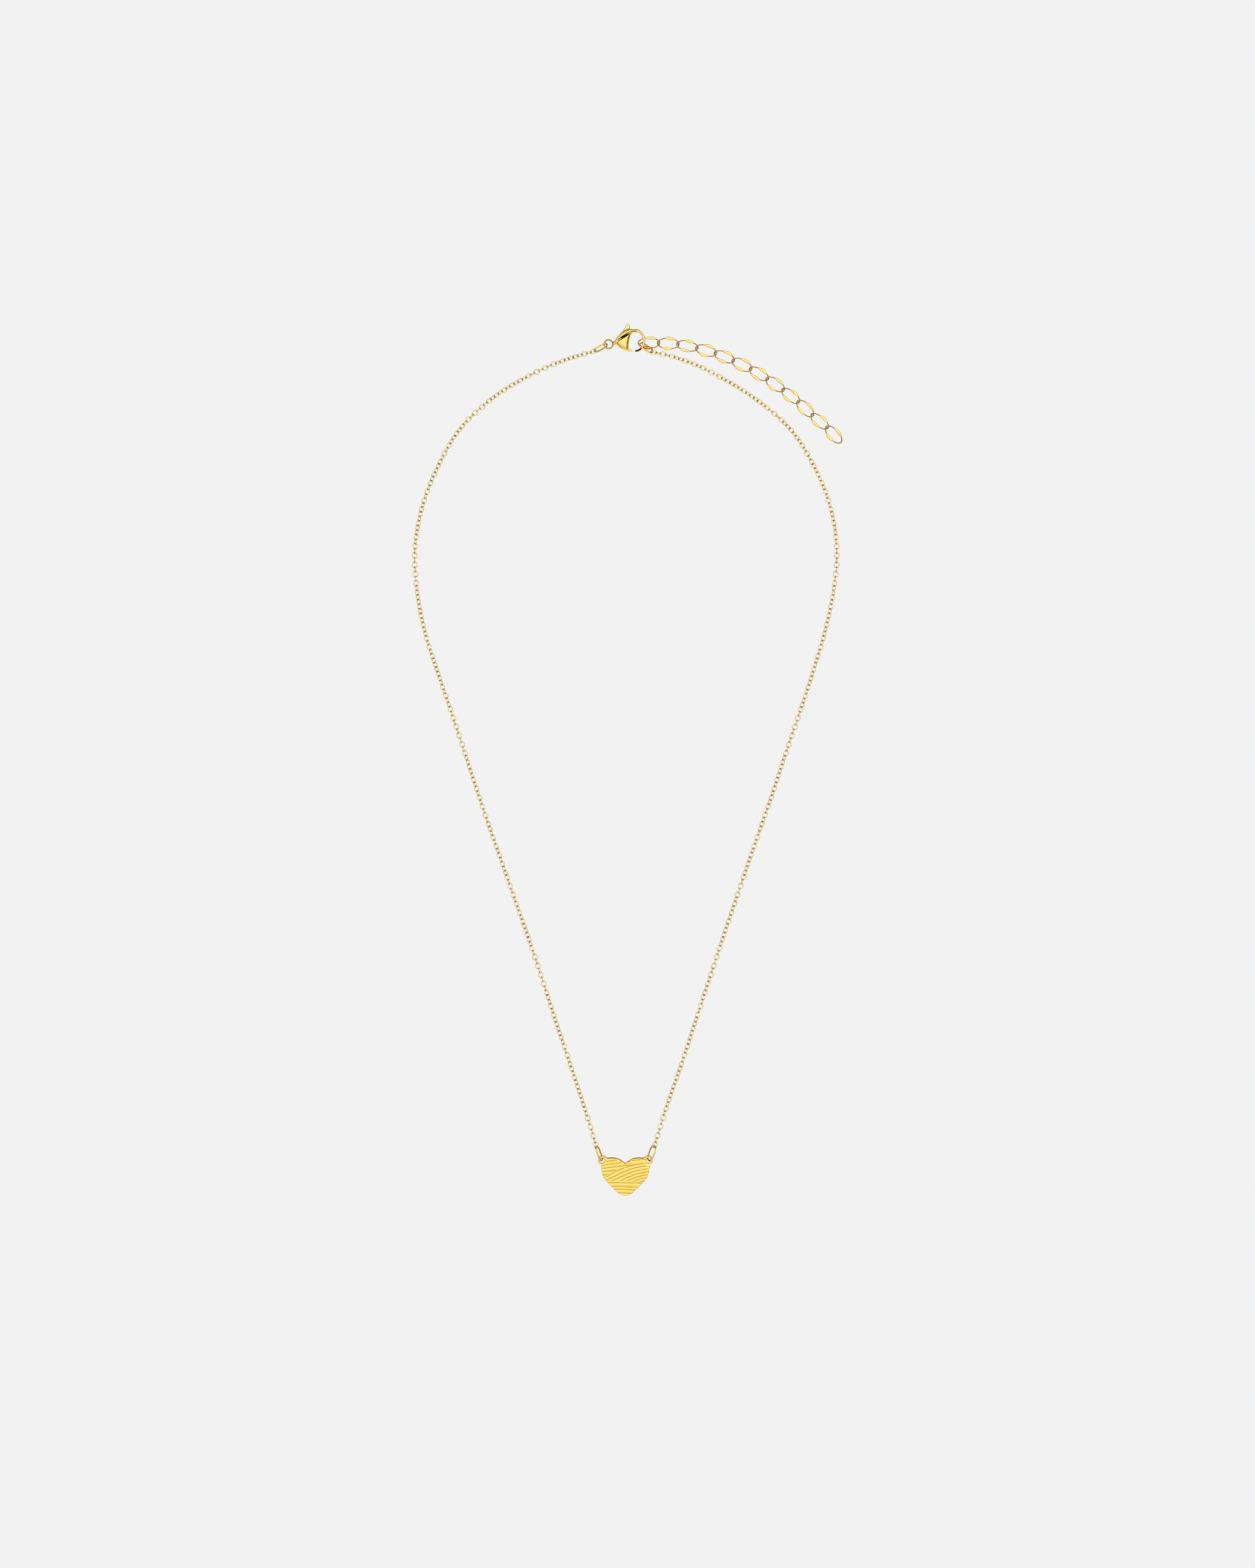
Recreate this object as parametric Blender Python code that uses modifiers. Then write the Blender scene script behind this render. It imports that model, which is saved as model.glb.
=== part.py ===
"""A heart pendant necklace, fastened and laid flat: a heart plate on two rings, a fine cable chain in
two halves, a lobster clasp with a sprung lever, an end ring and a twelve-link extender.

X runs to the right, Y away from the heart towards the clasp and Z up. The origin is the centre of the
heart's flat back. Lengths in this file are in millimetres and become metres through MM.
Each half of the cable chain is a row of plain round bars, one for each length between two folds.
"""

import math

import bmesh
import bpy
from mathutils import Matrix, Vector

MM = 0.001
WIRE_ROUNDNESS = 2

# Heart plate
HEART_THICKNESS = 1.5
HEART_EDGE_BEVEL = 0.12
EAR_X = 4.72
EAR_Y = 3.2
EAR_RADIUS = 0.86
EAR_HOLE_RADIUS = 0.52
EAR_THICKNESS = 0.34
EAR_RELIEF = 0.16

# Oval rings between the heart and the chain
RING_HEIGHT = 1.08
HEART_RING_HALF_WIDTH = 0.95
HEART_RING_WIRE = 0.34
LEFT_RING_TILT = 70
RIGHT_RING_TILT = -62
EAR_CROSSING_X = EAR_X + 0.05

# Fine cable chain, as a bar of the links' outer diameter
CHAIN_DIAMETER = 1.1
CHAIN_STEP = 2.6
BAR_GAP = 0.3
POINTS_PER_FOLD = (4, 8, 12, 16)

# Clasp
CLASP_HEIGHT = 1.29
CLASP_THICKNESS = 2.2
CLASP_EDGE_BEVEL = 0.3
EYE_CENTRE = (-3.4, 168.0)
EYE_RADIUS = 0.93
EYE_WIRE = 0.38
NECK = ((-2.42, 168.1), (-1.6, 168.2))
NECK_DIAMETER = 0.7
HOOK_CENTRE = (2.08, 168.7)
HOOK_HALF_WIDTH = 1.7
HOOK_HALF_LENGTH = 2.07
HOOK_WIRE = 0.6
HOOK_SWEEP = (118, -95)
HOOK_TAPER = (1.12, 0.67)
SLOT_THICKNESS = 0.74
LEVER_THICKNESS = 0.56
RIVET_CENTRE = (-0.35, 168.9)
RIVET_RADIUS = 0.22
RIVET_CLEARANCE = 0.06
RIVET_DEPTH = 0.25
SPRING_CENTRE = (-1.0, 167.76)
SPRING_RADIUS = 0.2
SPRING_WIRE = 0.08
SPRING_LENGTH = 0.5
SPRING_TURNS = 4

# Long oval links at the two ends of the fine chain
LINK_WIRE = 0.33
LINK_CLEARANCE = 0.15
CONNECTOR_HALF_WIDTH = 0.64
CONNECTOR_TILT = 55
CONNECTOR_CROSSING = (-3.72, 167.95, CLASP_HEIGHT)
END_RING_HALF_WIDTH = 0.82
END_RING_TILT = -52.5
END_RING_CROSSING = (2.943, 168.113, 1.14)

# Extender
EXTENDER_PITCH = 3.9
EXTENDER_HALF_WIDTH = 1.12
EXTENDER_WIRE = 0.28
EXTENDER_GAP = 0.14
EXTENDER_HALF_LENGTH = (EXTENDER_PITCH + EXTENDER_WIRE + EXTENDER_GAP) / 2
EXTENDER_HEIGHT = 0.62
EXTENDER_ROLL = 24
EXTENDER_START = (6.72, 168.3)
EXTENDER_HEADINGS = (-3.3, -11.5, -16.1, -22.1, -26.0, -30.7, -35.2, -37.9, -43.7, -39.9, -47.0)
FIRST_LINK_END = (6.72, 168.3, 0.594)
FIRST_LINK_RUN = (1.0, 0.0, 0.017)
FIRST_LINK_ROLL = -20.6
SWING_POINT = (3.05, 168.1, 0.5)

# The way each half of the chain lies, from its heart ring to the clasp, as points chosen by eye.
LEFT_ROUTE = [
    (-5.8, 5.8, RING_HEIGHT),
    (-8.2, 13.6, 0.6),
    (-11.2, 22.8, 0.6),
    (-14.3, 32.0, 0.6),
    (-17.5, 42.0, 0.6),
    (-20.4, 50.5, 0.6),
    (-23.4, 59.0, 0.6),
    (-26.4, 67.5, 0.6),
    (-29.3, 76.0, 0.6),
    (-32.1, 84.5, 0.6),
    (-34.9, 93.0, 0.6),
    (-37.8, 101.5, 0.6),
    (-40.5, 110.0, 0.6),
    (-42.1, 118.5, 0.6),
    (-42.5, 126.5, 0.6),
    (-41.1, 134.8, 0.6),
    (-38.0, 143.0, 0.6),
    (-33.3, 151.0, 0.6),
    (-26.2, 157.6, 0.6),
    (-18.0, 162.4, 0.6),
    (-12.0, 164.9, 0.65),
    (-6.25, 166.6, 1.1),
]
RIGHT_ROUTE = [
    (5.77, 5.9, RING_HEIGHT),
    (8.2, 13.6, 0.6),
    (11.4, 22.8, 0.6),
    (14.4, 32.0, 0.6),
    (17.7, 42.0, 0.6),
    (20.5, 50.5, 0.6),
    (23.4, 59.0, 0.6),
    (26.3, 67.5, 0.6),
    (29.3, 76.0, 0.6),
    (32.1, 84.5, 0.6),
    (35.0, 93.0, 0.6),
    (37.8, 101.5, 0.6),
    (40.3, 110.0, 0.6),
    (42.1, 118.5, 0.6),
    (42.7, 126.5, 0.6),
    (41.5, 134.8, 0.6),
    (38.3, 143.0, 0.6),
    (33.2, 151.0, 0.6),
    (25.4, 157.6, 0.6),
    (16.5, 162.8, 0.6),
    (10.6, 165.2, 0.6),
    (5.5, 166.45, 0.96),
]

GOLD = (0.83, 0.56, 0.16, 1.0)
PALE_GOLD = (0.88, 0.63, 0.22, 1.0)
STEEL = (0.62, 0.6, 0.56, 1.0)


def clear_scene():
    for obj in list(bpy.data.objects):
        bpy.data.objects.remove(obj)


def new_collection(name):
    collection = bpy.data.collections.new(name)
    bpy.context.scene.collection.children.link(collection)
    return collection


def metal(name, colour, roughness):
    material = bpy.data.materials.new(name)
    material.use_nodes = True
    shader = material.node_tree.nodes["Principled BSDF"]
    shader.inputs["Base Color"].default_value = colour
    shader.inputs["Metallic"].default_value = 1.0
    shader.inputs["Roughness"].default_value = roughness
    return material


def add(collection, name, data, pivot=(0.0, 0.0, 0.0), material=None):
    """An object of this data, whose points are already relative to the pivot."""
    obj = bpy.data.objects.new(name, data)
    obj.location = Vector(pivot) * MM
    if material:
        data.materials.append(material)
    collection.objects.link(obj)
    return obj


def wire_curve(name, points, diameter, cyclic, pivot, tapers=None):
    """A round wire through these points, in millimetres, as a curve with filled ends."""
    curve = bpy.data.curves.new(name, "CURVE")
    curve.dimensions = "3D"
    curve.bevel_depth = diameter / 2 * MM
    curve.bevel_resolution = WIRE_ROUNDNESS
    curve.use_fill_caps = not cyclic
    spline = curve.splines.new("POLY")
    spline.points.add(len(points) - 1)
    spline.use_cyclic_u = cyclic
    for i, point in enumerate(points):
        local = (Vector(point) - Vector(pivot)) * MM
        spline.points[i].co = (*local, 1.0)
        spline.points[i].radius = tapers[i] if tapers else 1.0
    return curve


def mesh_of(obj):
    """The object turned into a mesh object of the same place, with its caps joined on."""
    graph = bpy.context.evaluated_depsgraph_get()
    mesh = bpy.data.meshes.new_from_object(obj.evaluated_get(graph))
    shape = bmesh.new()
    shape.from_mesh(mesh)
    bmesh.ops.remove_doubles(shape, verts=shape.verts, dist=0.001 * MM)
    bmesh.ops.recalc_face_normals(shape, faces=shape.faces)
    shape.to_mesh(mesh)
    shape.free()
    made = bpy.data.objects.new(obj.name, mesh)
    made.matrix_world = obj.matrix_world
    for collection in obj.users_collection:
        collection.objects.link(made)
    name = obj.name
    bpy.data.objects.remove(obj)
    made.name = name
    return made


def outline_plate(name, outlines, low, high, pivot):
    """A flat plate between two heights; every outline after the first is a hole."""
    curve = bpy.data.curves.new(name, "CURVE")
    curve.dimensions = "2D"
    curve.fill_mode = "BOTH"
    curve.extrude = (high - low) / 2 * MM
    for outline in outlines:
        spline = curve.splines.new("POLY")
        spline.points.add(len(outline) - 1)
        spline.use_cyclic_u = True
        for i, (x, y) in enumerate(outline):
            spline.points[i].co = ((x - pivot[0]) * MM, (y - pivot[1]) * MM, 0.0, 1.0)
    return curve


def add_plate(collection, name, outlines, low, high, material=None):
    middle = (0.0, 0.0, (low + high) / 2)
    curve = outline_plate(name, outlines, low, high, middle)
    return mesh_of(add(collection, name, curve, middle, material))


def combine(obj, other, operation):
    modifier = obj.modifiers.new(operation.title(), "BOOLEAN")
    modifier.operation = operation
    modifier.object = other
    other.hide_render = True
    other.display_type = "WIRE"


def move_origin(obj, pivot):
    """Moves the object's origin to the pivot and leaves its shape where it is."""
    shift = Vector(pivot) * MM - obj.location
    obj.data.transform(Matrix.Translation(-shift))
    obj.location = Vector(pivot) * MM


def arc(centre, radius, start, end, steps):
    """Points on a circle from one angle to another, in degrees."""
    return [
        (
            centre[0] + radius * math.cos(math.radians(start + (end - start) * i / steps)),
            centre[1] + radius * math.sin(math.radians(start + (end - start) * i / steps)),
        )
        for i in range(steps + 1)
    ]


def circle(centre, radius, steps):
    return arc(centre, radius, 0, 360, steps)[:-1]


def smooth_path(points, per_span):
    """A Catmull-Rom curve through the points, with this many steps between each two."""
    ends = [2 * points[0] - points[1]] + points + [2 * points[-1] - points[-2]]
    path = []
    for i in range(1, len(ends) - 2):
        a, b, c, d = ends[i - 1 : i + 3]
        slope = (c - a) / 2
        bend = (2 * a - 5 * b + 4 * c - d) / 2
        twist = (3 * b - a - 3 * c + d) / 2
        for step in range(per_span):
            t = step / per_span
            path.append(b + slope * t + bend * t**2 + twist * t**3)
    return path + [points[-1]]


def lengths_along(path):
    total = [0.0]
    for a, b in zip(path, path[1:]):
        total.append(total[-1] + (b - a).length)
    return total


def stretch(path, start, end, steps):
    """Evenly spaced points along a path, from one length along it to another."""
    along = lengths_along(path)
    points = []
    i = 0
    for step in range(steps + 1):
        wanted = start + (end - start) * step / steps
        while i < len(along) - 2 and along[i + 1] < wanted:
            i += 1
        share = (wanted - along[i]) / (along[i + 1] - along[i])
        points.append(path[i].lerp(path[i + 1], share))
    return points


def oval(centre, along, across, half_length, half_width, steps):
    """Points round an ellipse that lies in the plane of two directions."""
    return [
        centre
        + along * half_length * math.cos(2 * math.pi * i / steps)
        + across * half_width * math.sin(2 * math.pi * i / steps)
        for i in range(steps)
    ]


def long_oval(centre, along, across, half_length, half_width, steps):
    """Points round a link with straight sides and half-round ends."""
    straight = half_length - half_width
    points = []
    for side in (1, -1):
        for i in range(steps // 2 + 1):
            angle = math.pi * (i / (steps // 2) - 0.5)
            reach = straight + half_width * math.cos(angle)
            points.append(centre + side * (along * reach + across * half_width * math.sin(angle)))
    return points


def tilted(along, tilt):
    """The direction across a link whose length lies along the first one and which leans by the tilt."""
    flat = Vector((-along.y, along.x, 0.0)).normalized()
    lift = along.cross(flat)
    return flat * math.cos(math.radians(tilt)) + lift * math.sin(math.radians(tilt))


def heart_outline():
    """The outline of the heart, from the notch round the right lobe to the tip and back."""
    right = [(0.0, 2.59), (0.5, 3.02), (1.0, 3.36), (1.7, 3.68), (2.7, 3.81), (3.7, 3.72), (4.3, 3.52)]
    right += [(4.72, 3.0), (4.86, 2.2), (4.8, 1.2), (4.6, 0.16), (4.2, -0.55), (3.56, -1.3)]
    right += [(2.65, -2.25), (1.65, -3.2), (0.95, -3.67), (0.4, -3.87), (0.0, -3.91)]
    left = [(-x, y) for x, y in reversed(right[1:-1])]
    return right + left


def make_heart(parts, cutters, material):
    heart = add_plate(parts, "heart_pendant", [heart_outline()], 0.0, HEART_THICKNESS, material)
    bevel = heart.modifiers.new("Rounded edge", "BEVEL")
    bevel.width = HEART_EDGE_BEVEL * MM
    bevel.segments = 2
    below = -1.0
    above = HEART_THICKNESS + 1.0
    low = RING_HEIGHT - EAR_THICKNESS / 2
    high = RING_HEIGHT + EAR_THICKNESS / 2
    ears = [(side * EAR_X, EAR_Y) for side in (-1, 1)]
    # The heart's side stands back from the ring by a round recess.
    for x, y in ears:
        relief = circle((x, y + 0.1), EAR_HOLE_RADIUS + EAR_RELIEF, 24)
        combine(heart, add_plate(cutters, "ear_relief", [relief], below, above), "DIFFERENCE")
    for ear in ears:
        disc = circle(ear, EAR_RADIUS, 32)
        combine(heart, add_plate(cutters, "ear", [disc], low, high), "UNION")
    for ear in ears:
        hole = circle(ear, EAR_HOLE_RADIUS, 24)
        combine(heart, add_plate(cutters, "ear_hole", [hole], below, above), "DIFFERENCE")
    move_origin(heart, (0.0, EAR_Y, RING_HEIGHT))


def make_heart_ring(parts, name, side, chain_end, tilt, material):
    """An oval ring through the ear on this side of the heart and the end link of the chain."""
    ear_crossing = Vector((side * EAR_CROSSING_X, EAR_Y, RING_HEIGHT))
    along = (chain_end - ear_crossing).normalized()
    centre = (chain_end + ear_crossing) / 2
    half_length = (chain_end - ear_crossing).length / 2
    across = tilted(along, tilt)
    points = oval(centre, along, across, half_length, HEART_RING_HALF_WIDTH, 24)
    add(parts, name, wire_curve(name, points, HEART_RING_WIRE, True, chain_end), chain_end, material)


def make_chain_half(parts, side, route, clear_start, clear_end, material):
    """Round bars from fold to fold. A bar's origin lies on the fold nearer the heart."""
    steps = 12
    path = smooth_path([Vector(p) for p in route], steps)
    along = lengths_along(path)
    folds = [0.0] + [along[i * steps] for i in POINTS_PER_FOLD] + [along[-1]]
    for n, (start, end) in enumerate(zip(folds, folds[1:]), 1):
        first = start + (BAR_GAP / 2 if n > 1 else clear_start)
        last = end - (BAR_GAP / 2 if n < len(folds) - 1 else clear_end)
        count = round((last - first) / CHAIN_STEP)
        points = stretch(path, first, last, count)
        pivot = stretch(path, start, end, 1)[0]
        name = f"{side}_chain_{n}"
        add(parts, name, wire_curve(name, points, CHAIN_DIAMETER, False, pivot), pivot, material)


def hook_points():
    """The hook runs from the body over the top and back to its tip below."""
    first, last = HOOK_SWEEP
    round_hook = arc((0.0, 0.0), 1.0, first, last, 18)
    return [
        Vector((HOOK_CENTRE[0] + HOOK_HALF_WIDTH * x, HOOK_CENTRE[1] + HOOK_HALF_LENGTH * y, CLASP_HEIGHT))
        for x, y in round_hook
    ]


def body_outline():
    """The clasp's teardrop: neck, spine, throat side and rounded belly."""
    spine = [(-2.3, 168.5), (-1.95, 168.75), (-1.45, 169.4), (-0.72, 170.12), (0.08, 170.6), (0.8, 170.95)]
    throat = [(1.35, 171.02), (1.4, 170.5), (1.18, 169.9), (0.98, 169.2), (0.8, 168.2), (0.7, 167.2)]
    belly = [(0.66, 166.6), (0.18, 166.62), (-0.62, 166.84), (-1.26, 167.22), (-1.72, 167.74), (-2.3, 167.78)]
    return spine + throat + belly


def slot_outline():
    """The space the lever swings in, open along the spine and at the throat."""
    outer = [(-2.2, 170.6), (-1.3, 169.1), (-1.45, 168.75), (-1.35, 167.5), (-0.6, 167.2), (0.1, 167.1)]
    return outer + [(0.3, 166.0), (2.0, 166.0), (2.0, 169.2), (0.62, 170.0), (0.98, 171.0), (0.9, 172.6)]


def lever_outline():
    """Thumb tab, boss round the rivet, heel on the spring and the gate that closes the hook."""
    tab = [(0.84, 170.9), (0.92, 171.6), (0.84, 171.95), (0.62, 172.08), (0.4, 171.95)]
    spine = [(-0.05, 171.1), (-0.5, 170.2), (-0.95, 169.6), (-1.22, 168.9), (-1.32, 168.35), (-0.9, 168.14)]
    gate = [(-0.4, 168.25), (0.1, 167.7), (0.62, 166.58), (1.2, 166.56), (1.46, 166.78), (1.05, 167.12)]
    return tab + spine + gate + [(0.62, 167.5), (0.3, 168.6), (0.35, 169.4), (0.62, 170.2)]


def wire_body(cutters, name, points, diameter, cyclic, tapers=None):
    """A length of wire as a closed mesh, to be joined onto another piece."""
    return mesh_of(add(cutters, name, wire_curve(name, points, diameter, cyclic, (0, 0, 0), tapers)))


def make_clasp_body(parts, cutters, material):
    low = CLASP_HEIGHT - CLASP_THICKNESS / 2
    high = CLASP_HEIGHT + CLASP_THICKNESS / 2
    slot_low = CLASP_HEIGHT - SLOT_THICKNESS / 2
    slot_high = CLASP_HEIGHT + SLOT_THICKNESS / 2
    body = add_plate(parts, "clasp_body", [body_outline()], low, high, material)
    bevel = body.modifiers.new("Rounded edge", "BEVEL")
    bevel.width = CLASP_EDGE_BEVEL * MM
    bevel.segments = 3
    combine(body, add_plate(cutters, "lever_slot", [slot_outline()], slot_low, slot_high), "DIFFERENCE")

    hook = hook_points()
    thick, thin = HOOK_TAPER
    tapers = [thick + (thin - thick) * i / (len(hook) - 1) for i in range(len(hook))]
    combine(body, wire_body(cutters, "hook", hook, HOOK_WIRE, False, tapers), "UNION")
    eye = [Vector((x, y, CLASP_HEIGHT)) for x, y in circle(EYE_CENTRE, EYE_RADIUS, 24)]
    combine(body, wire_body(cutters, "eye", eye, EYE_WIRE, True), "UNION")
    neck = [Vector((x, y, CLASP_HEIGHT)) for x, y in NECK]
    combine(body, wire_body(cutters, "neck", neck, NECK_DIAMETER, False), "UNION")

    hole = circle(RIVET_CENTRE, RIVET_RADIUS + RIVET_CLEARANCE, 20)
    hole_high = slot_high + RIVET_DEPTH
    combine(body, add_plate(cutters, "rivet_hole", [hole], low - 1.0, hole_high), "DIFFERENCE")
    move_origin(body, CONNECTOR_CROSSING)


def make_clasp_lever(parts, lever_material, rivet_material):
    """The lever and the rivet it turns on, both with their origin on the rivet's axis."""
    pivot = (*RIVET_CENTRE, CLASP_HEIGHT)
    rivet_low = CLASP_HEIGHT - CLASP_THICKNESS / 2
    rivet_high = CLASP_HEIGHT + SLOT_THICKNESS / 2 + RIVET_DEPTH - RIVET_CLEARANCE
    shaft = circle(RIVET_CENTRE, RIVET_RADIUS, 16)
    rivet = add_plate(parts, "clasp_rivet", [shaft], rivet_low, rivet_high, rivet_material)
    move_origin(rivet, pivot)

    lever_low = CLASP_HEIGHT - LEVER_THICKNESS / 2
    lever_high = CLASP_HEIGHT + LEVER_THICKNESS / 2
    hole = circle(RIVET_CENTRE, RIVET_RADIUS + RIVET_CLEARANCE, 20)
    lever = add_plate(parts, "clasp_lever", [lever_outline(), hole], lever_low, lever_high, lever_material)
    move_origin(lever, pivot)


def make_spring(parts, material):
    """A coil spring that stands between the lever's heel and the belly of the clasp."""
    steps = SPRING_TURNS * 10
    pivot = Vector((*SPRING_CENTRE, CLASP_HEIGHT))
    points = []
    for i in range(steps + 1):
        turn = 2 * math.pi * SPRING_TURNS * i / steps
        x = SPRING_RADIUS * math.cos(turn)
        y = SPRING_LENGTH * (i / steps - 0.5)
        z = SPRING_RADIUS * math.sin(turn)
        points.append(pivot + Vector((x, y, z)))
    add(parts, "clasp_spring", wire_curve("clasp_spring", points, SPRING_WIRE, False, pivot), pivot, material)


def make_long_link(parts, name, start, end, half_width, tilt, pivot, material):
    """A straight-sided link whose wire turns round at these two points."""
    along = (end - start).normalized()
    centre = (start + end) / 2
    across = tilted(along, tilt)
    points = long_oval(centre, along, across, (end - start).length / 2, half_width, 16)
    add(parts, name, wire_curve(name, points, LINK_WIRE, True, pivot), pivot, material)


def make_extender_link(parts, i, centre, along, roll, pivot, material):
    across = tilted(along, roll)
    points = oval(centre, along, across, EXTENDER_HALF_LENGTH, EXTENDER_HALF_WIDTH, 24)
    name = f"extender_link_{i:02d}"
    add(parts, name, wire_curve(name, points, EXTENDER_WIRE, True, pivot), pivot, material)


def make_extender(parts, material):
    """Each link's origin is the middle of the wire it hangs on, at the end of the link before."""
    lap = (EXTENDER_WIRE + EXTENDER_GAP) / 2
    end = Vector(FIRST_LINK_END)
    along = Vector(FIRST_LINK_RUN).normalized()
    centre = end - along * (EXTENDER_HALF_LENGTH - lap)
    make_extender_link(parts, 1, centre, along, FIRST_LINK_ROLL, Vector(SWING_POINT), material)

    crossing = Vector((*EXTENDER_START, EXTENDER_HEIGHT))
    for i, degrees in enumerate(EXTENDER_HEADINGS, 2):
        pivot = crossing + along * lap
        heading = math.radians(degrees)
        along = Vector((math.cos(heading), math.sin(heading), 0.0))
        centre = crossing + along * (EXTENDER_HALF_LENGTH - lap)
        roll = EXTENDER_ROLL if i % 2 == 0 else -EXTENDER_ROLL
        make_extender_link(parts, i, centre, along, roll, pivot, material)
        crossing += along * EXTENDER_PITCH


def main():
    clear_scene()
    parts = new_collection("pendant_necklace")
    cutters = new_collection("cutters")
    gold = metal("polished gold", GOLD, 0.15)
    pale = metal("pale gold", PALE_GOLD, 0.2)
    steel = metal("spring steel", STEEL, 0.3)

    make_heart(parts, cutters, gold)
    left_start, left_end = Vector(LEFT_ROUTE[0]), Vector(LEFT_ROUTE[-1])
    right_start, right_end = Vector(RIGHT_ROUTE[0]), Vector(RIGHT_ROUTE[-1])
    make_heart_ring(parts, "left_heart_ring", -1, left_start, LEFT_RING_TILT, pale)
    make_heart_ring(parts, "right_heart_ring", 1, right_start, RIGHT_RING_TILT, pale)

    ring_side = HEART_RING_WIRE / 2 + LINK_CLEARANCE
    link_side = LINK_WIRE / 2 + LINK_CLEARANCE
    make_chain_half(parts, "left", LEFT_ROUTE, ring_side, link_side, pale)
    make_chain_half(parts, "right", RIGHT_ROUTE, ring_side, link_side, pale)

    make_long_link(
        parts, "connector_link", left_end, Vector(CONNECTOR_CROSSING),
        CONNECTOR_HALF_WIDTH, CONNECTOR_TILT, left_end, pale,
    )
    make_long_link(
        parts, "end_ring", Vector(END_RING_CROSSING), right_end,
        END_RING_HALF_WIDTH, END_RING_TILT, right_end, pale,
    )
    make_clasp_body(parts, cutters, gold)
    make_clasp_lever(parts, gold, steel)
    make_spring(parts, steel)
    make_extender(parts, pale)


main()
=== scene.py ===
"""The looks of a heart pendant necklace, fastened and laid flat: every chain link, the ridged
heart, the lobster clasp and the faceted extender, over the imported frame. X is right, Y runs from
the heart to the clasp, Z is up. Lengths are in millimetres and become metres through MM.
"""

import math

import bmesh
import bpy
import numpy as np
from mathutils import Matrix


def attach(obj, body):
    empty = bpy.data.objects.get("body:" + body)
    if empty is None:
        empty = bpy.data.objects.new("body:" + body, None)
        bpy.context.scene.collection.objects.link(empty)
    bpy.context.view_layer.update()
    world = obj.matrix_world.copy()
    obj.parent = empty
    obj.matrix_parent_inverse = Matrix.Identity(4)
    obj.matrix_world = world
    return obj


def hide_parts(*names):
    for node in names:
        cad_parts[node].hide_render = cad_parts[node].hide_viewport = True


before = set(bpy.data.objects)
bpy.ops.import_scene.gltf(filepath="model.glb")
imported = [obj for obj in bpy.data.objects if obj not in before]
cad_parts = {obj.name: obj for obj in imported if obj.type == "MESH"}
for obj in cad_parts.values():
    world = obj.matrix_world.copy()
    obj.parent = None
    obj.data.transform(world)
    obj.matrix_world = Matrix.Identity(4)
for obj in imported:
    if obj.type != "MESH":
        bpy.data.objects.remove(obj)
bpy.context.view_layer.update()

MM = 0.001
RIGHT, AHEAD, UP = np.eye(3)
RANDOM_SEED = 7

# View
VIEW_CENTRE = (0.44, 79.2)
VIEW_HEIGHT = 316.9
CAMERA_DISTANCE = 1400.0
CLIP_DISTANCES = (10.0, 20000.0)
SENSOR_HEIGHT = 36.0
PIXEL_FILTER = 1.0

# The floor lies well below the necklace, so that nothing goes through it at any pose. It glows
# evenly, and the camera sees an even grey, PAPER, in place of floor and room.
FLOOR_LEVEL = -150.0
FLOOR_HALF_WIDTH = 4000.0
FLOOR_GLOW = 0.95
PAPER = 0.887

# Light in the room: how bright it is by degrees from straight up, along the necklace and across it
LIGHT_LEVEL = 1.45
LIGHT_ALONG = [
    (-90, 0.75), (-62, 0.68), (-50, 0.5), (-36, 0.5), (-18, 0.62), (0, 0.76), (20, 1.0), (40, 0.95),
    (48, 0.3), (55, 0.02), (90, 0.01),
]
LIGHT_ACROSS = [
    (-90, 0.45), (-68, 0.3), (-56, 0.45), (-42, 0.95), (0, 1.0), (42, 0.95), (56, 0.2), (68, 0.1),
    (90, 0.4),
]

# Metals, as (name, two tones, tone of the painted shade, least and most roughness, scale of marks,
# marks)
METALS = [
    ("heart gold", (1.0, 0.71, 0.18), (0.99, 0.67, 0.15), (0.4, 0.18, 0.02),
     (0.14, 0.24), 2500.0, 0.25),
    ("polished gold", (1.0, 0.75, 0.25), (1.0, 0.71, 0.2), (0.07, 0.026, 0.003),
     (0.1, 0.2), 2500.0, 0.12),
    ("chain gold", (1.0, 0.84, 0.42), (1.0, 0.79, 0.32), (0.42, 0.2, 0.015),
     (0.2, 0.3), 4000.0, 0.08),
    ("ring gold", (1.0, 0.72, 0.22), (0.99, 0.67, 0.16), (0.3, 0.15, 0.02),
     (0.1, 0.2), 3500.0, 0.08),
    ("extender gold", (1.0, 0.73, 0.23), (0.99, 0.69, 0.18), (0.36, 0.19, 0.02),
     (0.14, 0.26), 3000.0, 0.15),
    # A shaded copy of ring gold with a darker painted shade tone, for the first extender link.
    ("shaded gold", (1.0, 0.72, 0.22), (0.99, 0.67, 0.16), (0.5, 0.23, 0.02),
     (0.14, 0.24), 3000.0, 0.12),
    ("spring steel", (0.62, 0.6, 0.56), (0.52, 0.5, 0.47), (0.3, 0.28, 0.25),
     (0.25, 0.4), 3000.0, 0.2),
]
MARK_DEPTH = 0.02

# Fine chain
LINK_PITCH = 0.94
LINK_WIRE = 0.215
LINK_PLAY = 0.03
LINK_HALF_WIDTH = 0.49
LINK_LAP = (LINK_WIRE + LINK_PLAY) / 2
LINK_STEPS = 20
LINK_SIDES = 8
# Painted shade where the links cross, as (share of the reach it starts at, outer side level, inner
# side level)
LINK_END_SHADES = (0.68, 0.55, 0.0)
# How far the first and the last link's lap reaches past the middle of the wire it hangs on
END_REACH = 0.245
CORD_SPANS = 20

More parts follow.
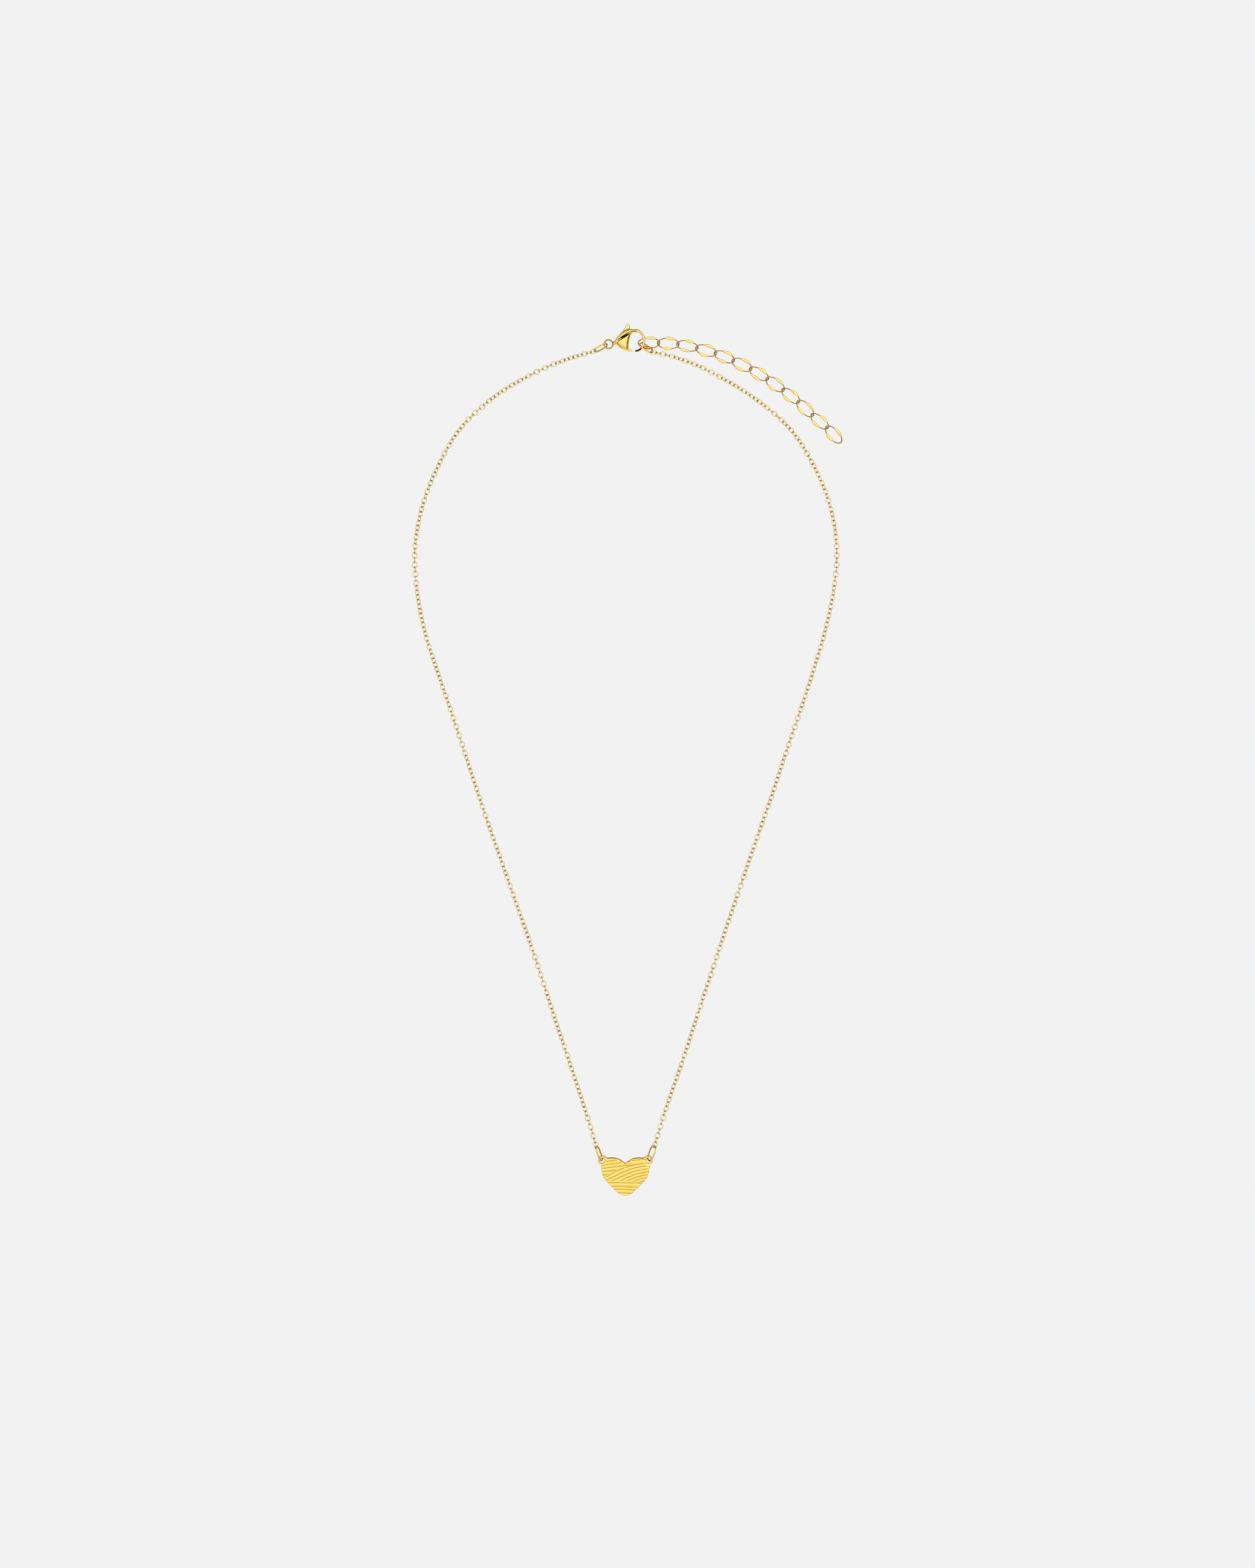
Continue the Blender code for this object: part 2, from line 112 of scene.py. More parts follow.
# The way each half of the chain lies, from its heart ring to the clasp, the steps from one route
# point to the next, and the route points at which the chain folds
ROUTE_STEPS = 12
FOLD_POINTS = (4, 8, 12, 16)
RING_HEIGHT = 1.08
CLASP_HEIGHT = 1.29
LEFT_ROUTE = [
    (-5.85, 6.08, RING_HEIGHT), (-8.2, 13.6, 0.6), (-11.2, 22.8, 0.6), (-14.3, 32.0, 0.6),
    (-17.5, 42.0, 0.6), (-20.4, 50.5, 0.6), (-23.4, 59.0, 0.6), (-26.4, 67.5, 0.6),
    (-29.3, 76.0, 0.6), (-32.1, 84.5, 0.6), (-34.9, 93.0, 0.6), (-37.8, 101.5, 0.6),
    (-40.5, 110.0, 0.6), (-42.1, 118.5, 0.6), (-42.5, 126.5, 0.6), (-41.1, 134.8, 0.6),
    (-38.0, 143.0, 0.6), (-33.3, 151.0, 0.6), (-26.2, 157.6, 0.6), (-18.0, 162.4, 0.6),
    (-12.0, 164.9, 0.65), (-6.25, 166.6, 1.1),
]
RIGHT_ROUTE = [
    (5.88, 6.15, RING_HEIGHT), (8.2, 13.6, 0.6), (11.4, 22.8, 0.6), (14.4, 32.0, 0.6),
    (17.7, 42.0, 0.6), (20.5, 50.5, 0.6), (23.4, 59.0, 0.6), (26.3, 67.5, 0.6), (29.3, 76.0, 0.6),
    (32.1, 84.5, 0.6), (35.0, 93.0, 0.6), (37.8, 101.5, 0.6), (40.3, 110.0, 0.6),
    (42.1, 118.5, 0.6), (42.7, 126.5, 0.6), (41.5, 134.8, 0.6), (38.3, 143.0, 0.6),
    (33.2, 151.0, 0.6), (25.4, 157.6, 0.6), (16.5, 162.8, 0.6), (10.6, 165.2, 0.6),
    (5.5, 166.45, 0.96),
]
# Roll of the even links in degrees: it drifts about its middle as slow waves, each (length,
# degrees), which start at their own phases on each side. Odd links lie 90 degrees further round, so
# near 0 every second link is on edge and near 45 all look alike.
ROLL_MIDDLE = 34.0
ROLL_WAVES = [(17.0, 22.0), (7.3, 11.0), (41.0, 14.0)]
LEFT_ROLL_PHASES = (3.6, 0.9, 4.6)
RIGHT_ROLL_PHASES = (3.42, 1.7, 4.18)
ROLL_JITTER = 6
# The right half has one link fewer than its length asks for, so that its last link crosses the end
# ring's wire.
LEFT_SPARE_LINKS = 0
RIGHT_SPARE_LINKS = -1

# Rings and long links
RING_SIDES = 16
# Painted shade at the rings' ends and inner sides, as (share of the reach it starts at, outer side
# level, inner side level)
RING_END_SHADES = (0.75, 0.3, 0.7)
HEART_RING_WIRE = 0.34
HEART_RING_HALF_WIDTH = 0.95
HEART_RING_FULLNESS = 2.7
HEART_RING_STEPS = 96
EAR_X = 4.72
EAR_Y = 3.2
EAR_CROSSING_X = EAR_X + 0.05
LEFT_RING_TILT = 70
RIGHT_RING_TILT = -57
LONG_LINK_WIRE = 0.33
LONG_LINK_STEPS = 32
CONNECTOR_HALF_WIDTH = 0.64
CONNECTOR_TILT = 55
CONNECTOR_CROSSING = (-3.72, 167.95, CLASP_HEIGHT)
END_RING_HALF_WIDTH = 0.82
END_RING_TILT = -52.5
END_RING_CROSSING = (2.943, 168.113, 1.14)

# Extender
EXTENDER_PITCH = 3.9
EXTENDER_HALF_WIDTH = 1.12
EXTENDER_WIRE = 0.25
EXTENDER_GAP = 0.17
EXTENDER_HALF_LENGTH = (EXTENDER_PITCH + EXTENDER_WIRE + EXTENDER_GAP) / 2
EXTENDER_LAP = (EXTENDER_WIRE + EXTENDER_GAP) / 2
EXTENDER_START = (6.72, 168.3, 0.62)
EXTENDER_ROLL = 24
EXTENDER_HEADINGS = (-3.3, -11.5, -16.1, -22.1, -26.0, -30.7, -35.2, -37.9, -43.7, -39.9, -47.0)
FIRST_LINK_END = (6.72, 168.3, 0.594)
FIRST_LINK_RUN = (1.0, 0.0, 0.017)
FIRST_LINK_ROLL = -20.6
# How much painted shade the first link has on its lower side, and over how wide a band that fades
FIRST_LINK_BELOW = 0.9
BELOW_FADE = 0.3
EXTENDER_STEPS = 144
EXTENDER_SIDES = 14
# Its wire: the share of its thickness away from the link's ends, and how much more there is at them
LINK_END_START = 0.78
LINK_END_SPAN = 0.2
WIRE_SHARE = 0.84
WIRE_GROWTH = 0.38
# Painted shade on the wire away from the facets, and how much less of it at the link's ends, where
# its inner side is shaded in full
WIRE_SHADE = 0.85
WIRE_END_LIGHTENING = 0.35
# Facets, placed in degrees round the link, and the notch beside each
FACET_HALF_WIDTH = 0.305
FACET_THICKNESS = 0.16
FACET_HALF_SPAN = 29
FACET_MIDDLES = (81, 263)
FACET_BLUNTNESS = 0.75
FACET_FLATTENING = 2.5
NOTCH_OFFSET = 3
NOTCH_HALF_SPAN = 2.6
NOTCH_SHARE = 0.72
NOTCH_RISE = 0.1

# Heart
HEART_THICKNESS = 1.5
HEART_EDGE_STEPS = 900
HEART_FACE_RINGS = 130
RIM_RINGS = 9
RIM_LEAST = 0.14
RIM_MOST = 0.36
RIM_DROP = 0.85
# The back's rounded edge, as (how far in, height), and its rings, as shares of its size
BACK_EDGE = [(0.0, 0.15), (0.04, 0.06), (0.14, 0.0)]
BACK_SHARES = (0.7, 0.35)
EAR_HOLE_RADIUS = 0.52
EAR_LOW = 0.9
EAR_TOP = 1.42
EAR_FLAT_REACH = 0.62
EAR_BLEND = 0.5
# What is cut away under an ear, as (degrees, reach from its hole); 0 is away from the heart.
EAR_UNDERCUT = [(0, 1.7), (115, 1.7), (125, 0.68), (300, 0.68), (310, 1.7), (360, 1.7)]
RIDGE_HEIGHT = 0.055
RIDGE_REACH = 0.34
GROOVE_DEPTH = 0.018
GROOVE_WIDTH = 0.075
GROOVE_END_SHARE = 0.08
GROOVE_END_LIFT = 0.12
# Painted shade: in the grooves, in the ears' holes and on rim faces turned towards +Y
GROOVE_SHADE = 0.45
GROOVE_SHADE_WIDTH = 0.085
GROOVE_SHADE_LOW = 1.2
EAR_HOLE_SHADE_RIM = 0.06
RIM_SHADE = 0.8
RIM_SHADE_LOW = 1.12
RIM_SHADE_BELOW_FACE = 0.025
HEART_OUTLINE = [
    (0.0, 2.59), (0.5, 3.02), (1.0, 3.36), (1.7, 3.68), (2.5, 3.81), (3.2, 3.79), (3.65, 3.78),
    (3.95, 3.93), (4.28, 4.12), (4.68, 4.2), (5.12, 4.06), (5.45, 3.7), (5.57, 3.22), (5.48, 2.78),
    (5.22, 2.44), (4.96, 2.16), (4.88, 1.8), (4.8, 1.2), (4.6, 0.16), (4.2, -0.55), (3.56, -1.3),
    (2.65, -2.25), (1.65, -3.2), (0.95, -3.67), (0.4, -3.87), (0.0, -3.91),
]
# Filed grooves, each a run of points across the face
GROOVES = [
    [(-4.6, 2.72), (-3.4, 2.93), (-1.4, 3.27)],
    [(-4.9, 2.08), (-3.0, 2.36), (-0.6, 2.75)],
    [(-4.9, 1.47), (-2.2, 1.83), (0.2, 2.1), (1.9, 2.27)],
    [(-4.9, 0.85), (-3.2, 1.0), (-1.7, 1.15)],
    [(-4.8, 0.19), (-4.1, 0.22), (-3.5, 0.27)],
    [(0.45, 3.05), (2.3, 3.22), (4.5, 3.38)],
    [(-4.4, -0.48), (-2.4, 0.58), (-0.6, 1.47), (1.8, 2.2), (4.9, 2.65)],
    [(-4.2, -1.12), (-2.2, -0.08), (-0.4, 0.78), (2.0, 1.64), (4.9, 2.08)],
    [(-2.95, -1.15), (-1.4, -0.42), (0.25, 0.31), (2.3, 1.07), (4.9, 1.52)],
    [(-1.15, -1.15), (0.0, -0.55), (1.05, -0.06), (2.8, 0.52), (4.9, 0.91)],
    [(0.1, -1.14), (0.95, -0.78), (1.8, -0.42), (3.3, 0.05), (4.9, 0.36)],
    [(1.6, -1.19), (2.3, -0.86), (2.95, -0.63), (4.6, -0.25)],
    [(3.05, -1.24), (3.5, -1.06), (4.0, -0.9)],
    [(-3.75, -1.36), (0.0, -1.38), (3.75, -1.44)],
    [(-3.1, -2.08), (0.0, -2.17), (2.9, -2.29)],
    [(-2.5, -2.64), (0.0, -2.74), (2.3, -2.87)],
    [(-1.6, -3.36), (0.0, -3.44), (1.5, -3.52)],
]

# Clasp
EYE_CENTRE = (-3.4, 168.0)
EYE_RADIUS = 0.93
EYE_WIRE = 0.38
HOOK_CENTRE = (2.08, 168.7)
HOOK_HALF_WIDTH = 1.7
HOOK_HALF_LENGTH = 2.07
# The hook starts at this many degrees round its oval, turns clockwise through so many, and tapers.
HOOK_START = 124
HOOK_TURN = 222
HOOK_STEPS = 48
HOOK_RADII = (0.336, 0.2)
# The hook has painted shade at its end: below and right of these, out to this share of its oval.
HOOK_SHADE_TOP = 167.45
HOOK_SHADE_FADE = 0.25
HOOK_SHADE_LEFT = 1.5
HOOK_SHADE_REACH = 1.09
NECK = ((-2.45, 168.08), (-1.7, 168.25))
NECK_RADIUS = 0.36
SPINE = [
    (-2.5, 168.1), (-1.9, 168.6), (-1.3, 169.22), (-0.55, 169.85), (0.35, 170.45), (1.0, 170.66),
    (1.6, 170.7),
]
# Where the spine's two rails run out along the hook, and (share of their length, lift, radius)
RAIL_END = (2.3, 170.74)
RAIL_PROFILE = [
    (0.0, 0.0, 0.3), (0.29, 0.66, 0.31), (0.57, 0.6, 0.36), (0.71, 0.5, 0.36), (0.86, 0.26, 0.34),
    (1.0, 0.0, 0.3),
]
# Painted shade in the hollow below the spine, as (x, y, half width)
HOLLOW = [
    (-1.5, 168.5, 0.02), (-1.38, 168.85, 0.05), (-1.12, 169.14, 0.08), (-0.68, 169.43, 0.15),
    (-0.3, 169.56, 0.2), (-0.05, 169.64, 0.24), (0.2, 169.76, 0.23), (0.42, 169.87, 0.2),
    (0.65, 170.0, 0.13), (0.86, 170.14, 0.05),
]
BODY_OUTLINE = [
    (-2.15, 168.35), (-1.85, 167.95), (-1.5, 167.55), (-0.95, 167.08), (-0.3, 166.8),
    (0.25, 166.64), (0.58, 166.72), (0.68, 167.2), (0.74, 168.0), (0.88, 168.86), (1.1, 169.6),
    (1.4, 170.3), (1.35, 170.85), (0.75, 170.88), (0.1, 170.5), (-0.65, 170.02), (-1.35, 169.4),
    (-1.9, 168.8),
]
BODY_CENTRE = (-0.35, 168.6)
BODY_HALF_THICKNESS = 1.1
BODY_EDGE_HALF_THICKNESS = 0.28
BODY_RINGS = 30
# Its half thickness, whichever is least of: a dome that rises from the edge over a reach,
DOME_START = 0.3
DOME_REACH = 1.2
DOME_FLATNESS = 2.5
# a facet that rises from the throat, with a groove along it,
FACET_START = 0.98
FACET_RISE = 0.2
FACET_GROOVE = 0.06
FACET_GROOVE_AT = 0.46
FACET_GROOVE_WIDTH = 0.06
# and a hollow beside the spine, steeper away from the middle of its length
HOLLOW_START = 0.7
HOLLOW_REACH = 0.32
HOLLOW_RISE = 0.8
HOLLOW_END_RISE = 0.9
HOLLOW_MIDDLE = 0.62
SHADE_BLUR = 0.12
SLOT_THICKNESS = 0.74
SLOT_OUTLINE = [
    (-2.6, 170.6), (-2.25, 168.8), (-2.08, 168.48), (-1.75, 168.36), (-1.5, 168.2), (-1.42, 167.8),
    (-1.3, 167.5), (-0.6, 167.2), (0.1, 167.1), (0.3, 166.0), (2.0, 166.0), (2.0, 169.2),
    (0.62, 170.0), (0.98, 171.0), (0.9, 172.6),
]
LEVER_THICKNESS = 0.56
LEVER_ROUNDING = 0.13
# The lever has painted shade along its rounded edge, more so where y - x is above a level and x is
# small,
LEVER_EDGE_SHADE = 0.3
LEVER_LEFT_SHADE = 0.6
LEVER_LEFT_LEVEL = 169.9
LEVER_LEFT_FADE = 0.8
LEVER_LEFT_MOST_X = 0.6
# and in a strip between these distances from the spine, from a share of the spine's length on.
STRIP_START = 0.36
STRIP_END = 0.58
STRIP_SHARE = 0.3
LEVER_OUTLINE = [
    (0.84, 170.9), (0.94, 171.5), (0.92, 171.82), (0.74, 172.04), (0.48, 172.07), (0.26, 171.93),
    (0.05, 171.6), (-0.22, 171.05), (-0.55, 170.55), (-1.2, 169.95), (-1.7, 169.42),
    (-1.92, 169.14), (-1.75, 168.98), (-1.4, 168.78), (-1.25, 168.4), (-0.9, 168.2),
    (-0.4, 168.25), (0.1, 167.7), (0.62, 166.58), (1.2, 166.56), (1.46, 166.78), (1.05, 167.12),
    (0.62, 167.5), (0.3, 168.6), (0.35, 169.4), (0.62, 170.2),
]
RIVET_CENTRE = (-0.35, 168.9)
RIVET_HOLE_RADIUS = 0.28
RIVET_HOLE_OVER = 0.25
CAST_TUBE_SIDES = 20
CAST_VOXEL = 0.045
LEVER_VOXEL = 0.035
# Heights for what cuts right through: below everything, above the heart and above the clasp
BELOW_ALL = -1.0
ABOVE_HEART = 3.0
ABOVE_CLASP = 4.0
# Edges that turn by more than so many degrees stay sharp.
HEART_SHARP = 38
CLASP_SHARP = 35


# ---------------------------------------------------------------- small tools


def unit(vector):
    vector = np.asarray(vector, float)
    return vector / np.linalg.norm(vector)


def add_mesh(name, verts, faces, smooth=True):
    """A mesh object from points in millimetres."""
    mesh = bpy.data.meshes.new(name)
    points = (np.asarray(verts, float) * MM).tolist()
    mesh.from_pydata(points, [], [tuple(int(i) for i in face) for face in faces])
    mesh.update()
    mesh.polygons.foreach_set("use_smooth", [smooth] * len(mesh.polygons))
    obj = bpy.data.objects.new(name, mesh)
    bpy.context.scene.collection.objects.link(obj)
    return obj


def paint_shade(obj, values):
    """A vertex attribute that is 1 where the painted shade is deepest: in hollows, on inner edges
    and where links cross.
    """
    attribute = obj.data.attributes.new("painted_shade", "FLOAT", "POINT")
    attribute.data.foreach_set("value", np.asarray(values, np.float32))


def end_shades(line, along, sides, start, outer, inside):
    """Painted shade values for a link's wire: towards its two ends from a share of its reach, less
    on the outer side, and to the inside level all along its inner side."""
    reach = np.abs((line - line.mean(axis=0)) @ along)
    ends = np.clip((reach / reach.max() - start) / (1 - start), 0, 1)
    inner = 0.5 - 0.5 * np.cos(2 * math.pi * np.arange(sides) / sides)
    return np.maximum(np.outer(ends, outer + (1 - outer) * inner), inside * inner**2).ravel()


def tilted(along, tilt):
    """The direction across a link that lies along the given one and leans by the tilt."""
    flat = unit([-along[1], along[0], 0.0])
    lift = np.cross(along, flat)
    return flat * math.cos(math.radians(tilt)) + lift * math.sin(math.radians(tilt))


def catmull(points, per_span, closed=False):
    """A smooth curve through the points, with this many steps between each two."""
    points = [np.asarray(p, float) for p in points]
    if closed:
        ends = [points[-1]] + points + points[:2]
    else:
        ends = [2 * points[0] - points[1]] + points + [2 * points[-1] - points[-2]]
    path = []
    for i in range(1, len(ends) - 2):
        a, b, c, d = ends[i - 1 : i + 3]
        slope = (c - a) / 2
        bend = (2 * a - 5 * b + 4 * c - d) / 2
        twist = (3 * b - a - 3 * c + d) / 2
        for step in range(per_span):
            t = step / per_span
            path.append(b + slope * t + bend * t**2 + twist * t**3)
    return np.array(path if closed else path + [points[-1]])


def run_along(path):
    """The length along a path at each of its points."""
    return np.concatenate([[0.0], np.cumsum(np.linalg.norm(np.diff(path, axis=0), axis=1))])


def at(path, along, where):
    """(point, direction) on a path at a length along it, straight on past its ends."""
    i = int(np.clip(np.searchsorted(along, where) - 1, 0, len(path) - 2))
    step = path[i + 1] - path[i]
    return path[i] + step * (where - along[i]) / (along[i + 1] - along[i]), unit(step)


def sweep(rings, cyclic):
    """Verts and faces of a skin over rings of points, each an array of the same length."""
    sides = len(rings[0])
    verts = np.concatenate(rings)
    faces = []
    spans = len(rings) if cyclic else len(rings) - 1
    for i in range(spans):
        first, second = i * sides, (i + 1) % len(rings) * sides
        for k in range(sides):
            after = (k + 1) % sides
            faces.append((first + k, first + after, second + after, second + k))
    if not cyclic:
        faces.append(tuple(reversed(range(sides))))
        faces.append(tuple(range(len(verts) - sides, len(verts))))
    return verts, faces


def link_rings(line, normals, sides, widths, heights):
    """Cross-sections round a closed line: heights lie along its normals, and widths across it."""
    ahead = np.roll(line, -1, axis=0) - np.roll(line, 1, axis=0)
    rings = []
    turn = 2 * math.pi * np.arange(sides) / sides
    normals = np.broadcast_to(normals, (len(line), 3))
    for point, tangent, normal, width, height in zip(line, ahead, normals, widths, heights):
        outward = unit(np.cross(tangent, normal))
        normal = unit(np.cross(outward, tangent))
        rings.append(
            point
            + np.outer(np.cos(turn) * width, outward)
            + np.outer(np.sin(turn) * height, normal)
        )
    return rings


def oval_line(centre, along, across, half_length, half_width, steps, fullness=2.0):
    """Points round an oval. A fullness above 2 makes its ends blunter."""
    turn = 2 * math.pi * np.arange(steps) / steps
    reach, spread = (
        np.sign(share) * np.abs(share) ** (2 / fullness) for share in (np.cos(turn), np.sin(turn))
    )
    return centre + np.outer(reach * half_length, along) + np.outer(spread * half_width, across)


def long_oval_line(centre, along, across, half_length, half_width, steps):
    """A line with straight sides and half-round ends."""
    straight = half_length - half_width
    points = []
    for side in (1, -1):
        turn = math.pi * (np.arange(steps // 2 + 1) / (steps // 2) - 0.5)
        for angle in turn:
            reach = straight + half_width * math.cos(angle)
            points.append(centre + side * (along * reach + across * half_width * math.sin(angle)))
        for share in (0.25, 0.5, 0.75):
            foot = straight * (1 - 2 * share)
            points.append(centre + side * (along * foot + across * half_width))
    return np.array(points)


def wire_tube(points, radii, sides):
    """Verts and faces of a round open wire with closed ends, thick as the radii say."""
    tangents = np.gradient(points, axis=0)
    normal = np.array([0.0, 0.0, 1.0])
    turn = 2 * math.pi * np.arange(sides) / sides
    rings = []
    for point, tangent, radius in zip(points, tangents, radii):
        side = unit(np.cross(tangent, normal))
        lift = unit(np.cross(side, tangent))
        rings.append(point + radius * (np.outer(np.cos(turn), side) + np.outer(np.sin(turn), lift)))
    return sweep(rings, False)


def joined(parts):
    """One list of verts and one of faces from several."""
    verts, faces, count = [], [], 0
    for points, polygons in parts:
        verts.append(points)
        faces += [tuple(i + count for i in polygon) for polygon in polygons]
        count += len(points)
    return np.concatenate(verts), faces


def finish_piece(obj, body, slot, material, *nodes):
    obj.data.materials.clear()
    obj.data.materials.append(material)
    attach(obj, body)
    if nodes:
        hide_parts(*nodes)


# ---------------------------------------------------------------- materials


def noise(tree, coords, scale, detail=3.0, stretch=(1.0, 1.0, 1.0)):
    """A noise whose features are about 1/scale metres across."""
    mapping = tree.nodes.new("ShaderNodeMapping")
    mapping.inputs["Scale"].default_value = stretch
    texture = tree.nodes.new("ShaderNodeTexNoise")
    texture.inputs["Scale"].default_value = scale
    texture.inputs["Detail"].default_value = detail
    tree.links.new(coords, mapping.inputs["Vector"])
    tree.links.new(mapping.outputs["Vector"], texture.inputs["Vector"])
    return texture.outputs["Fac"]


def remap(tree, value, low, high, to_low, to_high):
    node = tree.nodes.new("ShaderNodeMapRange")
    node.inputs["From Min"].default_value = low
    node.inputs["From Max"].default_value = high
    node.inputs["To Min"].default_value = to_low
    node.inputs["To Max"].default_value = to_high
    tree.links.new(value, node.inputs["Value"])
    return node.outputs["Result"]


def polished_metal(name, light, deep, painted_shade_tone, roughness, mark_scale, marks):
    """Plated metal: colour drifting between two tones and a third as painted shade where the
    painted_shade attribute is high, uneven polish and fine rubbing marks."""
    material = bpy.data.materials.new(name)
    material.use_nodes = True
    tree = material.node_tree
    shader = tree.nodes["Principled BSDF"]
    shader.inputs["Metallic"].default_value = 1.0
    coords = tree.nodes.new("ShaderNodeTexCoord").outputs["Object"]

    tone = remap(tree, noise(tree, coords, mark_scale * 0.25, 4.0), 0.35, 0.65, 0.0, 1.0)
    mix = tree.nodes.new("ShaderNodeMix")
    mix.data_type = "RGBA"
    mix.inputs["A"].default_value = (*light, 1.0)
    mix.inputs["B"].default_value = (*deep, 1.0)
    tree.links.new(tone, mix.inputs["Factor"])
    # Painted shade: the attribute mixes the dark painted shade tone into the base colour.
    painted_shade = tree.nodes.new("ShaderNodeAttribute")
    painted_shade.attribute_name = "painted_shade"
    shade = tree.nodes.new("ShaderNodeMix")
    shade.data_type = "RGBA"
    shade.inputs["B"].default_value = (*painted_shade_tone, 1.0)
    tree.links.new(mix.outputs["Result"], shade.inputs["A"])
    tree.links.new(painted_shade.outputs["Fac"], shade.inputs["Factor"])
    tree.links.new(shade.outputs["Result"], shader.inputs["Base Color"])

    low, high = roughness
    cloud = noise(tree, coords, mark_scale, 5.0)
    tree.links.new(remap(tree, cloud, 0.3, 0.7, low, high), shader.inputs["Roughness"])

    rubbed = noise(tree, coords, mark_scale * 2.0, 6.0, (0.3, 3.0, 1.0))
    bump = tree.nodes.new("ShaderNodeBump")
    bump.inputs["Strength"].default_value = marks
    bump.inputs["Distance"].default_value = MARK_DEPTH * MM
    tree.links.new(rubbed, bump.inputs["Height"])
    tree.links.new(bump.outputs["Normal"], shader.inputs["Normal"])
    return material


# ---------------------------------------------------------------- camera, light and floor


def make_camera():
    data = bpy.data.cameras.new("Camera")
    data.sensor_fit = "VERTICAL"
    data.sensor_height = SENSOR_HEIGHT
    data.lens = SENSOR_HEIGHT * CAMERA_DISTANCE / VIEW_HEIGHT
    data.clip_start, data.clip_end = (distance * MM for distance in CLIP_DISTANCES)
    camera = bpy.data.objects.new("Camera", data)
    camera.location = (VIEW_CENTRE[0] * MM, VIEW_CENTRE[1] * MM, CAMERA_DISTANCE * MM)
    bpy.context.scene.collection.objects.link(camera)
    bpy.context.scene.camera = camera


def make_floor():
    """A plain pale floor that glows evenly, so that nothing throws a shadow on it."""
    half = FLOOR_HALF_WIDTH
    corners = [(-half, -half), (half, -half), (half, half), (-half, half)]
    floor = add_mesh("floor", [(x, y, FLOOR_LEVEL) for x, y in corners], [(0, 1, 2, 3)], False)
    material = bpy.data.materials.new("pale floor")
    material.use_nodes = True
    tree = material.node_tree
    tree.nodes.clear()
    glows = []
    for level in (FLOOR_GLOW, PAPER):
        glow = tree.nodes.new("ShaderNodeEmission")
        glow.inputs["Color"].default_value = (level, level, level, 1.0)
        glows.append(glow.outputs["Emission"])
    show_camera(tree, *glows, "ShaderNodeOutputMaterial")
    floor.data.materials.append(material)


def show_camera(tree, real, seen, output_type):
    """The camera sees one shader, and everything else the real one."""
    choose = tree.nodes.new("ShaderNodeMixShader")
    output = tree.nodes.new(output_type)
    light_path = tree.nodes.new("ShaderNodeLightPath")
    tree.links.new(light_path.outputs["Is Camera Ray"], choose.inputs["Fac"])
    tree.links.new(real, choose.inputs[1])
    tree.links.new(seen, choose.inputs[2])
    tree.links.new(choose.outputs["Shader"], output.inputs["Surface"])


def tilt_light(tree, split, axis, stops):
    """The room's light by how far a direction leans from straight up along one axis, through
    (degrees, level) stops."""
    lean = tree.nodes.new("ShaderNodeMath")
    lean.operation = "ARCTAN2"
    tree.links.new(split.outputs[axis], lean.inputs[0])
    tree.links.new(split.outputs["Z"], lean.inputs[1])
    ramp = tree.nodes.new("ShaderNodeValToRGB")
    share = remap(tree, lean.outputs["Value"], -math.pi / 2, math.pi / 2, 0.0, 1.0)
    tree.links.new(share, ramp.inputs["Fac"])
    elements = ramp.color_ramp.elements
    places = [(degrees + 90) / 180 for degrees, _ in stops]
    elements[0].position, elements[1].position = places[0], places[-1]
    for place in places[1:-1]:
        elements.new(place)
    for element, (_, level) in zip(elements, stops):
        element.color = (level, level, level, 1.0)
    return ramp.outputs["Color"]


def make_world():
    """A studio: broad soft light overhead that leans back, dimmer in front, and dark low behind."""
    world = bpy.data.worlds.new("Studio")
    bpy.context.scene.world = world
    world.use_nodes = True
    tree = world.node_tree
    tree.nodes.clear()
    split = tree.nodes.new("ShaderNodeSeparateXYZ")
    direction = tree.nodes.new("ShaderNodeTexCoord").outputs["Generated"]
    tree.links.new(direction, split.inputs["Vector"])
    both = tree.nodes.new("ShaderNodeMix")
    both.data_type = "RGBA"
    both.blend_type = "MULTIPLY"
    both.inputs["Factor"].default_value = 1.0
    tree.links.new(tilt_light(tree, split, "Y", LIGHT_ALONG), both.inputs["A"])
    tree.links.new(tilt_light(tree, split, "X", LIGHT_ACROSS), both.inputs["B"])
    studio = tree.nodes.new("ShaderNodeBackground")
    studio.inputs["Strength"].default_value = LIGHT_LEVEL
    tree.links.new(both.outputs["Result"], studio.inputs["Color"])
    plain = tree.nodes.new("ShaderNodeBackground")
    plain.inputs["Color"].default_value = (PAPER, PAPER, PAPER, 1.0)
    seen = plain.outputs["Background"]
    show_camera(tree, studio.outputs["Background"], seen, "ShaderNodeOutputWorld")


# ---------------------------------------------------------------- fine chain


def roll_at(where, phases):
    return ROLL_MIDDLE + sum(
        degrees * math.sin(2 * math.pi * where / length + phase)
        for (length, degrees), phase in zip(ROLL_WAVES, phases)
    )


